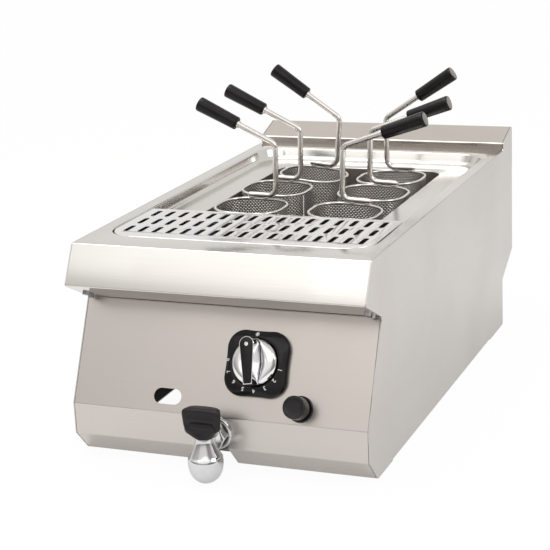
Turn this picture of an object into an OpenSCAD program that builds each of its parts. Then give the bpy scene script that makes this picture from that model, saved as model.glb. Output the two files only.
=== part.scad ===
// Countertop gas pasta cooker with six lift-out baskets, a drain tray and a front drain tap.
// Drawn from the worktop's front edge (y = 0) and the table (z = 0), then moved to the centre of its box.

/* [Cabinet] */
// Height of the worktop above the table
worktop_z = 277; // [270:1:290]
// Thickness of the worktop, panel and tank sheet
sheet_t = 1.5; // [1.2:0.1:2]
// Thickness of the two side panels
side_t = 1.5; // [1.2:0.1:2]
// Gap at the seams between a side panel and the sheets beside it
seam_gap = 0.6; // [0.4:0.1:1]
// Outer radius of the sheet bends
bend_r = 3; // [2.5:0.5:5]
// Height of the panels' lower edges above the table
skirt_z = 0.5; // [0.3:0.1:1]

/* [Front] */
// Height of the sloping fascia
fascia_drop = 49; // [40:1:52]
// How far the fascia's lower edge stands in front of its upper edge
fascia_lean = 27; // [20:1:32]
// Distance of the control panel's top behind the worktop's front edge
panel_top_y = 32; // [26:1:36]
// Distance of the control panel's top below the worktop
panel_drop = 79; // [73:1:85]
// Distance of the control panel's bend in front of the worktop's front edge
panel_bend_out = 28.5; // [24:0.5:32]
// Height of the control panel's bend
panel_bend_z = 72; // [70:1:76]
// Height at which the lower panel turns in under the cabinet
chamfer_z = 31; // [26:1:34]

/* [Back] */
// Depth of the upstand at the back of the worktop
upstand_d = 55.5; // [48:0.5:64]
// Height of the upstand's back edge above the worktop
upstand_rise = 28; // [22:1:34]
// Height of the upstand's front lip above the worktop
upstand_lip = 11; // [9:0.5:14]
// How far the lower back stands in front of the upper back
rear_step_d = 65; // [55:1:75]
// Height at which the lower back turns outward
rear_step_z = 74; // [70:1:84]
// Height of the sloping part of the back
rear_slope_h = 34; // [26:1:42]
// Thickness of the flue cover on the back
flue_cover_t = 1.2; // [1:0.1:2]

/* [Recess and tank] */
// Width of the worktop on either side of the recess
side_land = 19; // [17:1:24]
// Width of the worktop in front of the recess
front_land = 59; // [54:1:66]
// Width of the worktop between the recess and the upstand
back_land = 33.5; // [28:0.5:40]
// Depth of the recess
recess_depth = 17; // [14:1:20]
// Corner radius of the recess
recess_r = 39; // [34:1:44]
// Width of the recess floor on either side of the tank
floor_side = 53; // [48:1:58]
// Width of the recess floor behind the tank
floor_back = 52; // [46:1:58]
// Corner radius of the tank
tank_r = 25; // [20:1:30]
// Depth of the tank below the recess floor
tank_depth = 165; // [160:1:172]
// Width of the tank's rim flange
tank_flange = 10; // [8:0.5:11]
// Height of the perforated false bottom above the tank floor
false_bottom_h = 20; // [16:1:24]
// Diameter of the holes in the false bottom
false_hole_d = 14; // [10:1:18]

/* [Drain tray] */
// Depth of the tray from front to back
tray_d = 134; // [128:1:140]
// Gap between the tray and the front of the recess
tray_front_gap = 1.5; // [1:0.5:3]
// Gap between the tray and each side of the recess
tray_side_gap = 4; // [3:0.5:6]
// Width of the recess floor between the tray and the tank
tray_tank_gap = 20.5; // [16:0.5:26]
// How far the tray's top lies below the worktop
tray_sink = 1.2; // [0.8:0.1:2]
// Length of a drain slot
slot_l = 29; // [22:1:34]
// Width of a drain slot
slot_w = 7; // [5:0.5:9]
// Distance between drain slots in a row
slot_pitch = 20.1; // [19:0.1:20.4]
// Distance between the rows of drain slots
slot_row_pitch = 41; // [40:0.5:44]

/* [Baskets] */
// Width of a basket between the centres of its rim wire
basket_w = 96; // [90:1:102]
// Depth of a basket between the centres of its rim wire
basket_d = 90; // [84:1:96]
// Corner radius of a basket
basket_r = 28; // [24:1:34]
// Thickness of a basket's mesh wall
mesh_t = 1.2; // [1:0.1:1.5]
// Diameter of the rim wire
rim_wire = 4; // [3.5:0.1:4.5]
// Height of the rim's centre above the recess floor
rim_above = 3; // [2.5:0.5:6]
// Gap between the two columns of baskets
column_gap = 44; // [38:1:50]
// Gap between the rows of baskets
row_gap = 24; // [20:1:28]
// Gap between the baskets and each side of the tank
tank_side_gap = 10; // [8:0.5:13]
// Gap between the front baskets and the front of the tank
tank_front_gap = 19; // [15:1:23]
// Gap between the back baskets and the back of the tank
tank_back_gap = 9; // [7:0.5:13]
// How far the front, middle and back baskets on the left stand outward of their column
left_stray = [1, 5, -15]; // [-16:1:7]
// How far the front, middle and back baskets on the right stand outward of their column
right_stray = [0, 3, -2]; // [-16:1:7]
// How far the front, middle and back baskets on the left stand behind their row
left_drift = [6, 2, -10]; // [-14:1:8]
// How far the front, middle and back baskets on the right stand behind their row
right_drift = [0, 0, -14]; // [-14:1:8]

/* [Handles] */
// Diameter of the handle wire
handle_wire = 8; // [6:0.5:9]
// Length of the foot that is welded along the rim
handle_foot = 40; // [34:1:44]
// Distance of the handle's upright from the middle of its basket
handle_in = 20; // [15:1:22]
// Height of the upright from the foot to its upper bend
handle_rise = 75; // [62:1:86]
// Length of the sloping arm with its grip
handle_reach = 126; // [112:1:138]
// Slope of the arm on the front and middle baskets
handle_tilt = 22.5; // [15:0.5:30]
// Slope of the arm on the back baskets
handle_tilt_back = 35; // [28:0.5:45]
// Bend radius of the handle wire
handle_bend = 12; // [9:1:16]
// Length of a grip
grip_l = 64; // [56:1:72]
// Diameter of a grip at its outer end
grip_d = 21.5; // [19:0.5:24]
// Diameter of a grip at its inner end
grip_neck_d = 18.5; // [16:0.5:19]

/* [Control knob] */
// Distance of the knob to the right of the middle
knob_x = 46.5; // [44:0.5:52]
// Distance of the knob's centre up the control panel from its bend
knob_up = 71; // [66:1:76]
// Width and height of the bezel
bezel_w = 83; // [78:1:86]
// Corner radius of the bezel
bezel_r = 22; // [18:1:26]
// Thickness of the bezel
bezel_t = 10; // [9:0.5:12]
// Diameter of the dial
dial_d = 59; // [54:1:62]
// Height of the knob's top above the panel
knob_top = 37; // [34:1:42]
// Width of the grip bar at its pointer end
grip_bar_w = 19; // [15:1:20]
// Width of the grip bar at its tail
grip_tail_w = 9; // [7:1:11]
// Turn of the resting grip bar to the left of the bezel's dot
bar_turn = 9; // [0:1:12]
// Diameter of the valve spindle
spindle_d = 8; // [7:0.5:9]
// Diameter of the turning plug in the valve
plug_d = 16; // [14:0.5:18]
// How far the knob is pressed in
knob_press = 4; // [3:0.5:4]

/* [Igniter and sight hole] */
// Distance of the igniter to the right of the middle
igniter_x = 110; // [106:1:116]
// Distance of the igniter up the control panel from its bend
igniter_up = 19.5; // [18:0.5:22]
// Diameter of the igniter button
button_d = 27; // [24:0.5:29]
// How far the button stands out from the panel
button_out = 27; // [22:1:30]
// How far the button is pressed in
button_press = 6; // [4:0.5:7]
// Distance of the sight hole to the left of the middle
sight_x = 69; // [64:1:76]
// Distance of the sight hole up the control panel from its bend
sight_up = 20; // [17:1:24]
// Length of the sight hole
sight_l = 38; // [32:1:42]
// Height of the sight hole
sight_h = 20; // [16:1:22]

/* [Drain tap] */
// Height of the drain pipe's centre
tap_z = 52; // [49:0.5:53]
// Distance of the tap's upright axis in front of the worktop's edge
tap_out = 66; // [64:1:72]
// Outer diameter of the drain pipe
drain_d = 26; // [22:1:27]
// Wall thickness of the drain pipe
drain_wall = 2; // [1.5:0.5:3]
// Diameter of the tap's wall flange
tap_flange_d = 43; // [38:1:48]
// Thickness of the tap's wall flange
tap_flange_t = 5; // [4:0.5:7]
// Largest diameter of the spout
spout_d = 46; // [42:1:48]
// Diameter of the tap's turning plug
tap_plug_d = 16; // [14:0.5:17]
// Diameter of the waterway through the tap
waterway_d = 10; // [8:0.5:11]
// Width of the tap handle at its front
lever_w = 55; // [48:1:58]
// Width of the tap handle at its back
lever_back_w = 40; // [34:1:44]
// Height of the tap handle
lever_h = 37.5; // [34:0.5:44]
// Thickness of the tap handle
lever_t = 18; // [14:1:20]

/* [Gas line] */
// Diameter of the gas inlet thread
inlet_d = 21; // [20:0.1:22]
// Length of the gas inlet thread
inlet_l = 24; // [20:1:28]
// Diameter of the supply pipe
supply_d = 15; // [12:1:16]
// Diameter of the pipe from the valve to the burner
feed_d = 12; // [10:1:14]
// Height of the gas inlet
inlet_z = 45; // [44:0.5:47]
// Distance of the gas inlet from the cabinet's side
inlet_in = 50; // [46:1:54]
// Diameter of a burner tube
burner_d = 30; // [26:1:32]
// Height of the burner tubes' centres
burner_z = 48; // [47:0.5:50]
// Distance between the burner tubes
burner_pitch = 70; // [66:1:76]
// Length of the burner tubes
burner_l = 230; // [200:5:250]

/* [Hidden] */
// Clearances
rest_gap = 0.3;    // between a piece and what it can be lifted off
run_fit = 0.05;    // radial, on a turning or sliding pin
hole_fit = 0.1;    // radial, on a piece held in a hole
press_spare = 2;   // room left behind a piece that is pressed in
press_gap = 0.5;   // gap left in front of the dial's floor when the knob is pressed in
weld_bite = 0.4;   // depth to which a handle's foot is welded into the rim
joint_bead = 1.04; // diameter of the bead where a handle's bend ends, as a share of the wire
bend_steps = 4;
cut = 1;           // how far a cutter reaches past a face
$fn = 48;

// Plan, from the front of the worktop to its back
column_x = (basket_w + column_gap) / 2;
row_pitch = basket_d + row_gap;
tank_w = 2 * (column_x + basket_w / 2 + tank_side_gap);
tray_front = front_land + tray_front_gap;
tank_front = tray_front + tray_d + tray_tank_gap;
first_row_y = tank_front + tank_front_gap + basket_d / 2;
tank_back = first_row_y + 2 * row_pitch + basket_d / 2 + tank_back_gap;
recess_back = tank_back + floor_back;
recess_w = tank_w + 2 * floor_side;
cabinet_w = recess_w + 2 * side_land;
upstand_y = recess_back + back_land;
back_y = upstand_y + upstand_d;
base_back = back_y - rear_step_d;
side_in = cabinet_w / 2 - side_t;
skin_half = side_in - seam_gap;
origin_y = (back_y + flue_cover_t - tap_out - spout_d / 2) / 2;

// Heights
floor_z = worktop_z - recess_depth;
tank_floor = floor_z - tank_depth;
false_z = tank_floor + false_bottom_h;
rim_z = floor_z + rim_above;
basket_bottom = false_z + rest_gap;
foot_z = rim_z + rim_wire / 2 + handle_wire / 2 - weld_bite;
tray_top = worktop_z - tray_sink;
upstand_top = worktop_z + upstand_rise;

// Front corners in side view
fascia_top = [0, worktop_z];
fascia_low = [-fascia_lean, worktop_z - fascia_drop];
panel_top = [panel_top_y, worktop_z - panel_drop];
panel_bend = [-panel_bend_out, panel_bend_z];
panel_low = [-panel_bend_out, chamfer_z];
skirt_front = [0, skirt_z];
panel_tilt = atan2(panel_top[0] - panel_bend[0], panel_top[1] - panel_bend[1]);
under_dir = (panel_top - fascia_low) / norm(panel_top - fascia_low);
under_angle = atan2(under_dir[1], under_dir[0]);

// Base rails and flanges
rail_z = 2.5;
rail_w = 20;
rail_h = 31.5;
rail_t = 1.5;
rail_front = 25;
rail_back = base_back - 25;
pad_l = 40;
pad_w = 18;
pad_inset = 15;
side_flange = 11;
panel_flange = 16;
skirt_flange = 18;
relief_front = 60;
relief_back = 80;
relief_h = 2;

// Screws under the fascia
screw_d = 5;
screw_head_d = 9;
screw_head_t = 3.5;
screw_l = 12;
screw_in = 10;
screw_places = [40, 56];
tab_w = 24;
tab_t = 3;
tab_from = 37;
tab_to = 63;

// Flue
cover_low = 240;
vent_w = 200;
vent_z = 246;
vent_h = 17;
vent_count = 12;
vent_slot_w = 8;
duct_w = 222;
duct_low = 130;
duct_gap = 5.5;
duct_top = vent_z + vent_h + 4;
false_gap = 2;
false_columns = 7;
false_lines = 9;
shield_gap = 16;
shield_low = 70;

// Valve, spindle and knob, measured outward from the panel's face
valve_half = 22;
valve_back = -55;
valve_bore_top = -8;
valve_bore_low = -46;
plug_top = -10;
plug_low = -44;
spindle_low = -27;
socket_low = spindle_low - knob_press - press_spare;
spindle_top = 22;
spindle_hole_d = spindle_d + 4;
dial_low = 7.5;
dial_edge = 16;
grip_cap_t = 2;
dial_ridge_top = knob_top - grip_cap_t;
dial_gap = 1;
bezel_floor = dial_low - knob_press - press_gap;
bar_tip = 19.5;
bar_tail = -30;
bar_inset = 1.5;

// Igniter, measured outward from the panel's face
barrel_d = button_d + 3;
collar_d = button_d + 6;
collar_t = 3;
barrel_low = -32;
button_low = -6;
barrel_floor = button_low - button_press - press_spare;
piezo_d = 22;
piezo_low = -62;
nut_d = 42;
nut_t = 8;
dish_d = 20;
dish_depth = 1;

// Tap
notch_half = drain_d / 2 + 1.5;
tap_inlet = -panel_bend_out - tap_flange_t - 0.8;
tap_hex_d = 37;
tap_hex_l = 12;
tap_neck_d = 22;
tap_arm_d = 15;
tap_round = 3;
tap_shoulder = 3;
tap_lip = 4;
tap_top = tap_z + 8;
tap_plug_low = tap_z - 12;
shoulder_z = tap_z - 15;
belly_z = tap_z - 28;
tap_foot_h = 9;
spout_low = 2.5;
lever_z = tap_top + rest_gap;
lever_neck_d = 25;
lever_neck_h = 8;
lever_taper = 2;
lever_side_z = 14;
lever_round = 6;
stem_d = 10;
stem_h = 20;
drain_y = tank_front + 25;
drain_bend = 26;

// Gas line and burner
gas_x = cabinet_w / 2 - inlet_in;
valve_depth = 30;
manifold_y = tank_front + 70;
manifold_d = 18;
manifold_half = burner_pitch + 20;
burner_y = manifold_y + 15;
burner_wall = 2;
injector_d = 10;
injector_l = 18;
port_d = 4;
port_count = 10;
port_margin = 25;
feed_x = -40;
elbow_ratio = 1.25;
pipe_wall = 1.5;
inlet_hex_d = 31;
inlet_hex_t = 8;
bar_w = 20;
bar_t = 3;
bar_places = [25, 185];
pilot_x = 36;
pilot_w = 34;
pilot_leg_y = burner_y + bar_places[0] - 7;
pilot_shelf_d = 21;
pilot_shelf_z = 58;
pilot_pitch = 10;
pilot_y = pilot_leg_y + 12;
pilot_top = 80;
pilot_low = 46;
pilot_stems = [7, 5, 5];
pilot_collar = 2;
pilot_collar_h = 6;

// Names of the baskets and of the three pieces in each
ROWS = ["front", "middle", "back"];
SIDES = ["left", "right"];
BASKETS = [for (r = [0:2]) for (s = [0:1]) str("basket_", ROWS[r], "_", SIDES[s])];
PIECES = ["_mesh", "_frame", "_grip"];

// Direction and corner helpers for flat paths
function unit(v) = v / norm(v);
function left_of(d) = [-d[1], d[0]];
function half_angle(a, b, c) = acos(unit(a - b) * unit(c - b)) / 2;
function bend_setback(a, b, c, r) = r / tan(half_angle(a, b, c));
function bend_centre(a, b, c, r) = b + unit(unit(a - b) + unit(c - b)) * r / sin(half_angle(a, b, c));
function angle_of(v) = atan2(v[1], v[0]);
function bend_start(a, b, c, r) =
    angle_of(b + unit(a - b) * bend_setback(a, b, c, r) - bend_centre(a, b, c, r));
function bend_end(a, b, c, r) =
    angle_of(b + unit(c - b) * bend_setback(a, b, c, r) - bend_centre(a, b, c, r));
function bend_sweep(a, b, c, r) = (bend_end(a, b, c, r) - bend_start(a, b, c, r) + 540) % 360 - 180;

// Points along a rounded corner
function corner_arc(a, b, c, r) =
    let (from = bend_start(a, b, c, r), step = bend_sweep(a, b, c, r) / bend_steps)
    [for (i = [0:bend_steps]) bend_centre(a, b, c, r) + r * [cos(from + i * step), sin(from + i * step)]];

// An open path with rounded corners
function rounded_path(p, r) =
    [p[0], for (i = [1:len(p) - 2]) each corner_arc(p[i - 1], p[i], p[i + 1], r), p[len(p) - 1]];

// A closed outline with rounded corners
function rounded_outline(p, r) =
    [for (i = [0:len(p) - 1])
        each corner_arc(p[(i + len(p) - 1) % len(p)], p[i], p[(i + 1) % len(p)], r)];

// A path's point moved to the left of the path by the sheet's thickness
function inside_of(p, i, t) =
    let (
        before = unit(i > 0 ? p[i] - p[i - 1] : p[1] - p[0]),
        after = unit(i < len(p) - 1 ? p[i + 1] - p[i] : p[i] - p[i - 1])
    )
    p[i] + t * (left_of(before) + left_of(after)) / (1 + before * after);

// Section of a folded sheet whose outer face follows the path
function sheet_section(path, t) =
    let (p = rounded_path(path, bend_r))
    concat(p, [for (i = [len(p) - 1:-1:0]) inside_of(p, i, t)]);

// Moves the drawing to the centre of the object's box
module at_origin() {
    translate([0, -origin_y, 0]) children();
}

// Turns a flat (y, z) drawing into a solid that reaches from one side to the other
module across(half) {
    rotate([90, 0, 90]) translate([0, 0, -half]) linear_extrude(2 * half) children();
}

// A sheet folded along a (y, z) path
module folded_sheet(path, half) {
    across(half) polygon(sheet_section(path, sheet_t));
}

// Places a piece on the control panel with z along the panel's outward normal
module at_panel(x, up) {
    translate([x, panel_bend[0] + up * sin(panel_tilt), panel_bend[1] + up * cos(panel_tilt)])
        rotate([90 - panel_tilt, 0, 0]) children();
}

// Places a piece on the slope under the fascia with z along its outward normal
module at_underside(x, along) {
    translate([x, fascia_low[0] + along * under_dir[0], fascia_low[1] + along * under_dir[1]])
        rotate([180 + under_angle, 0, 0]) children();
}

// A cylinder between two heights
module post(d, low, high) {
    translate([0, 0, low]) cylinder(d = d, h = high - low);
}

// A slot with round ends, along x
module stadium(l, w) {
    square([l - w, w], center = true);
    for (x = [-1, 1])
        translate([x * (l - w) / 2, 0]) circle(d = w);
}

module rounded_rect(w, d, r) {
    square([w - 2 * r, d], center = true);
    square([w, d - 2 * r], center = true);
    for (x = [-1, 1], y = [-1, 1])
        translate([x * (w / 2 - r), y * (d / 2 - r)]) circle(r);
}

// A rounded outline between a front and a back edge, grown on every side
module plan(w, front, back, r, grow) {
    translate([0, (front + back) / 2]) rounded_rect(w + 2 * grow, back - front + 2 * grow, r + grow);
}

module recess_plan(grow) {
    plan(recess_w, front_land, recess_back, recess_r, grow);
}

module tank_plan(grow) {
    plan(tank_w, tank_front, tank_back, tank_r, grow);
}

module slab(low, high) {
    translate([0, 0, low]) linear_extrude(high - low) children();
}

// Part of a ring of round wire or pipe, from the x axis towards the y axis
module ring_part(r, d, angle) {
    rotate_extrude(angle = angle) translate([r, 0]) circle(d = d);
}

// A pipe of straight runs with a round elbow fitting at each corner
module pipe_run(points, d) {
    for (i = [0:len(points) - 2]) {
        run = points[i + 1] - points[i];
        translate(points[i])
            rotate([0, acos(run[2] / norm(run)), atan2(run[1], run[0])]) cylinder(d = d, h = norm(run));
    }
    for (i = [1:len(points) - 2])
        translate(points[i]) sphere(d = elbow_ratio * d);
}

// Cabinet shell

module worktop() {
    underside_end = panel_top - seam_gap * under_dir;
    path = [[back_y - 2 * sheet_t, worktop_z], fascia_top, fascia_low, underside_end];
    color("gainsboro") difference() {
        union() {
            folded_sheet(path, skin_half);
            slab(floor_z - sheet_t, worktop_z) recess_plan(sheet_t);
        }
        slab(floor_z, worktop_z + cut) recess_plan(0);
        slab(floor_z - sheet_t - cut, floor_z + cut) tank_plan(0);
        for (side = [-1, 1], along = screw_places)
            at_underside(side * (cabinet_w / 2 - screw_in), along)
                post(screw_d + 2 * hole_fit, -sheet_t - cut, cut);
    }
}

module side_panel() {
    outline = [
        fascia_top, fascia_low, panel_top, panel_bend, panel_low, skirt_front,
        [base_back, skirt_z], [base_back, rear_step_z], [back_y, rear_step_z + rear_slope_h],
        [back_y, upstand_top], [upstand_y, worktop_z + upstand_lip], [upstand_y, worktop_z]
    ];
    flange_top = worktop_z - sheet_t;
    difference() {
        union() {
            translate([side_in + side_t / 2, 0, 0])
                across(side_t / 2) polygon(rounded_outline(outline, bend_r));
            translate([side_in - side_flange, front_land, flange_top - sheet_t])
                cube([side_flange, recess_back - front_land, sheet_t]);
            at_underside(side_in - tab_w, 0)
                translate([0, -tab_to, -sheet_t - tab_t]) cube([tab_w, tab_to - tab_from, tab_t]);
        }
        translate([side_in - cut, relief_front, skirt_z - cut])
            cube([side_t + 2 * cut, base_back - relief_back - relief_front, relief_h + cut]);
        for (along = screw_places)
            at_underside(cabinet_w / 2 - screw_in, along)
                post(screw_d + 2 * hole_fit, -sheet_t - tab_t - cut, 0);
    }
}

module side_panel_left() {
    color("silver") mirror([1, 0, 0]) side_panel();
}

module side_panel_right() {
    color("silver") side_panel();
}

module control_panel() {
    path = [
        [panel_top[0] + panel_flange, panel_top[1]], panel_top, panel_bend, panel_low, skirt_front,
        [skirt_flange, skirt_z]
    ];
    color("tan") difference() {
        folded_sheet(path, skin_half);
        at_panel(knob_x, knob_up) post(spindle_hole_d, -sheet_t - cut, cut);
        at_panel(igniter_x, igniter_up) post(barrel_d + 2 * hole_fit, -sheet_t - cut, cut);
        at_panel(-sight_x, sight_up) slab(-sheet_t - cut, cut) stadium(sight_l, sight_h);
        translate([0, 0, tap_z]) rotate([90, 0, 0])
            post(2 * notch_half, -skirt_flange - cut, panel_bend_out + cut);
        translate([-notch_half, -panel_bend_out - cut, skirt_z - cut])
            cube([2 * notch_half, panel_bend_out + skirt_flange + 2 * cut, tap_z - skirt_z + cut]);
    }
}

module upstand() {
    path = [
        [back_y, cover_low], [back_y, upstand_top],
        [upstand_y, worktop_z + upstand_lip], [upstand_y, worktop_z]
    ];
    color("silver") difference() {
        folded_sheet(path, skin_half);
        translate([-vent_w / 2, back_y - sheet_t - cut, vent_z]) cube([vent_w, sheet_t + 2 * cut, vent_h]);
    }
}

module flue_cover() {
    step = vent_w / vent_count;
    color("dimgray") difference() {
        translate([-cabinet_w / 2, back_y, cover_low])
            cube([cabinet_w, flue_cover_t, upstand_top - cover_low - bend_r]);
        for (i = [0:vent_count - 1])
            translate([-vent_w / 2 + (i + 0.5) * step - vent_slot_w / 2, back_y - cut, vent_z])
                cube([vent_slot_w, flue_cover_t + 2 * cut, vent_h]);
    }
}

module flue_duct() {
    front = recess_back + duct_gap;
    color("gray") {
        folded_sheet([[back_y - sheet_t, duct_top], [front, duct_top], [front, duct_low]], duct_w / 2);
        for (side = [-1, 1])
            translate([side * (duct_w / 2 + sheet_t / 2) - sheet_t / 2, front, duct_low])
                cube([sheet_t, back_y - sheet_t - front, duct_top - duct_low]);
    }
}

module rear_panel() {
    path = [
        [base_back - skirt_flange, skirt_z], [base_back, skirt_z], [base_back, rear_step_z],
        [back_y, rear_step_z + rear_slope_h], [back_y, cover_low - seam_gap]
    ];
    color("silver") difference() {
        folded_sheet(path, skin_half);
        translate([gas_x, base_back, inlet_z]) rotate([90, 0, 0])
            post(supply_d + 2 * hole_fit, -cut, sheet_t + cut);
    }
}

// Base

module base_rail() {
    translate([side_in - rail_w, rail_front, rail_z]) cube([rail_w, rail_back - rail_front, rail_t]);
    translate([side_in - rail_t, rail_front, rail_z]) cube([rail_t, rail_back - rail_front, rail_h]);
}

module base_rail_left() {
    color("slategray") mirror([1, 0, 0]) base_rail();
}

module base_rail_right() {
    color("slategray") base_rail();
}

// A cross rail with its upright flange at y and its foot towards the cabinet's middle
module cross_rail(y, inward) {
    half = side_in - rail_t;
    translate([-half, y - rail_t / 2, rail_z + rail_t]) cube([2 * half, rail_t, rail_h - rail_t]);
    translate([-half, inward > 0 ? y : y - rail_w, rail_z + rail_t]) cube([2 * half, rail_w, rail_t]);
}

module base_rail_front() {
    color("slategray") cross_rail(rail_front + rail_t / 2, 1);
}

module base_rail_rear() {
    color("slategray") cross_rail(rail_back - rail_t / 2, -1);
}

module foot_pads() {
    color("black") for (side = [-1, 1], y = [rail_front + pad_inset, rail_back - pad_inset - pad_l])
        translate([side * (side_in - rail_w / 2) - pad_w / 2, y, 0]) cube([pad_w, pad_l, rail_z]);
}

module fascia_screws() {
    color("white") for (side = [-1, 1], along = screw_places)
        at_underside(side * (cabinet_w / 2 - screw_in), along) {
            cylinder(d = screw_head_d, h = screw_head_t, $fn = 6);
            post(screw_d, -screw_l, 0);
        }
}

module heat_shield() {
    color("gray") translate([-side_in, tank_front - shield_gap, shield_low])
        cube([2 * side_in, sheet_t, floor_z - sheet_t - shield_low]);
}

// Tank

module tank() {
    rim_top = floor_z - sheet_t;
    color("lightgray") difference() {
        union() {
            slab(tank_floor - sheet_t, rim_top) tank_plan(sheet_t);
            slab(rim_top - sheet_t, rim_top) tank_plan(sheet_t + tank_flange);
        }
        slab(tank_floor, rim_top + cut) tank_plan(0);
        translate([0, drain_y, 0])
            post(drain_d + 2 * hole_fit, tank_floor - sheet_t - cut, tank_floor + cut);
    }
}

module false_bottom() {
    step_x = tank_w / (false_columns + 1);
    step_y = (tank_back - tank_front) / (false_lines + 1);
    color("lightgray") difference() {
        slab(tank_floor, false_z) tank_plan(-false_gap);
        slab(tank_floor - cut, false_z - sheet_t) tank_plan(-false_gap - sheet_t);
        for (i = [1:false_columns], j = [1:false_lines])
            translate([i * step_x - tank_w / 2, tank_front + j * step_y, 0])
                post(false_hole_d, false_z - sheet_t - cut, false_z + cut);
    }
}

// The drain's round outline: down from the tank, through a quarter bend and forward to the tap
module drain_run(d) {
    bend_y = drain_y - drain_bend;
    bend_top = tap_z + drain_bend;
    translate([0, drain_y, 0]) post(d, bend_top, tank_floor);
    translate([0, bend_y, bend_top]) rotate([90, 0, 90]) rotate([0, 0, -90]) ring_part(drain_bend, d, 90);
    translate([0, bend_y, tap_z]) rotate([90, 0, 0]) cylinder(d = d, h = bend_y - tap_inlet);
}

module drain_pipe() {
    color("silver") difference() {
        drain_run(drain_d);
        drain_run(drain_d - 2 * drain_wall);
    }
}

// Drain tap

module tap_flange() {
    color("white") translate([0, -panel_bend_out, tap_z]) rotate([90, 0, 0]) difference() {
        union() {
            cylinder(d = tap_flange_d, h = tap_flange_t / 2);
            translate([0, 0, tap_flange_t / 2])
                cylinder(d1 = tap_flange_d, d2 = drain_d + 2 * tap_shoulder, h = tap_flange_t / 2);
        }
        post(drain_d + 2 * hole_fit, -cut, tap_flange_t + cut);
    }
}

module tap_body() {
    half = spout_d / 2;
    neck = tap_neck_d / 2;
    outline = [
        [0, tap_top], [neck, tap_top], [neck + 1, tap_z], [half - tap_shoulder, shoulder_z],
        [half, belly_z], [half - tap_shoulder, spout_low + tap_foot_h],
        [waterway_d / 2 + tap_lip, spout_low], [0, spout_low]
    ];
    color("white") translate([0, -tap_out, 0]) difference() {
        union() {
            rotate_extrude() polygon(rounded_path(outline, tap_round));
            translate([0, tap_out + tap_inlet, tap_z]) rotate([90, 0, 0]) {
                cylinder(d = tap_hex_d, h = tap_hex_l, $fn = 6);
                cylinder(d = tap_arm_d, h = tap_out + tap_inlet);
            }
        }
        post(tap_plug_d + 2 * run_fit, tap_plug_low, tap_top + cut);
        post(waterway_d, spout_low - cut, tap_plug_low + cut);
        translate([0, tap_out + tap_inlet + cut, tap_z]) rotate([90, 0, 0])
            cylinder(d = waterway_d, h = tap_out + tap_inlet + cut);
    }
}

module tap_stem() {
    color("gold") translate([0, -tap_out, 0]) difference() {
        union() {
            post(tap_plug_d, tap_plug_low + rest_gap, tap_top);
            post(stem_d, tap_top, tap_top + stem_h);
        }
        post(waterway_d, tap_plug_low - cut, tap_z);
        translate([0, 0, tap_z]) rotate([0, 90, 0]) cylinder(d = waterway_d, h = tap_plug_d);
    }
}

module tap_handle() {
    half = lever_w / 2;
    low = lever_neck_h / 2;
    front = -lever_t / 2;
    slope = (lever_w - lever_back_w) / 2 / lever_t;
    outline = [
        [-lever_neck_d / 2, low], [lever_neck_d / 2, low], [half - lever_taper, lever_side_z],
        [half, lever_h], [-half, lever_h], [lever_taper - half, lever_side_z]
    ];
    color("black") translate([0, -tap_out, lever_z]) difference() {
        union() {
            cylinder(d = lever_neck_d, h = lever_neck_h);
            rotate([90, 0, 0]) translate([0, 0, -lever_t / 2]) linear_extrude(lever_t)
                polygon(rounded_outline(outline, lever_round));
        }
        post(stem_d, -cut, stem_h - rest_gap);
        for (side = [-1, 1]) linear_extrude(lever_h + cut) polygon([
            [side * (half + cut * slope), front - cut], [side * (half + lever_t), front - cut],
            [side * (half + lever_t), cut - front], [side * (half - (lever_t + cut) * slope), cut - front]
        ]);
    }
}

// Burner and gas line

module burner_tubes() {
    step = (burner_l - 2 * port_margin) / (port_count - 1);
    color("dimgray") for (i = [-1:1])
        translate([i * burner_pitch, burner_y, burner_z]) difference() {
            rotate([-90, 0, 0]) cylinder(d = burner_d, h = burner_l);
            rotate([-90, 0, 0]) post(burner_d - 2 * burner_wall, -cut, burner_l - burner_wall);
            for (j = [0:port_count - 1])
                translate([0, port_margin + j * step, 0]) cylinder(d = port_d, h = burner_d);
        }
}

module burner_bars() {
    half = side_in - rail_t;
    color("slategray") for (place = bar_places)
        translate([-half, burner_y + place - bar_w / 2, burner_z - burner_d / 2 - bar_t])
            cube([2 * half, bar_w, bar_t]);
}

module injector_manifold() {
    color("goldenrod") translate([0, manifold_y, burner_z]) {
        rotate([0, 90, 0]) cylinder(d = manifold_d, h = 2 * manifold_half, center = true);
        for (i = [-1:1])
            translate([i * burner_pitch, 0, 0]) rotate([-90, 0, 0])
                cylinder(d = injector_d, h = injector_l);
    }
}

// Where the valve's ports lie, behind the panel
valve_port_y = panel_bend[0] + knob_up * sin(panel_tilt) + valve_depth * cos(panel_tilt);
valve_port_z = panel_bend[1] + knob_up * cos(panel_tilt) - valve_depth * sin(panel_tilt);

module gas_inlet() {
    color("gold") translate([gas_x, base_back, inlet_z]) rotate([-90, 0, 0]) difference() {
        union() {
            cylinder(d = inlet_hex_d, h = inlet_hex_t, $fn = 6);
            post(inlet_d, inlet_hex_t, inlet_hex_t + inlet_l);
        }
        post(supply_d - 2 * pipe_wall, -cut, inlet_hex_t + inlet_l + cut);
    }
}

module gas_supply_pipe() {
    color("orange") pipe_run([
        [gas_x, base_back, inlet_z], [gas_x, valve_port_y, inlet_z],
        [gas_x, valve_port_y, valve_port_z], [knob_x + valve_half, valve_port_y, valve_port_z]
    ], supply_d);
}

module burner_feed_pipe() {
    color("orange") pipe_run([
        [knob_x - valve_half, valve_port_y, valve_port_z], [feed_x, valve_port_y, valve_port_z],
        [feed_x, valve_port_y, burner_z], [feed_x, manifold_y - manifold_d / 2, burner_z]
    ], feed_d);
}

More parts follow.
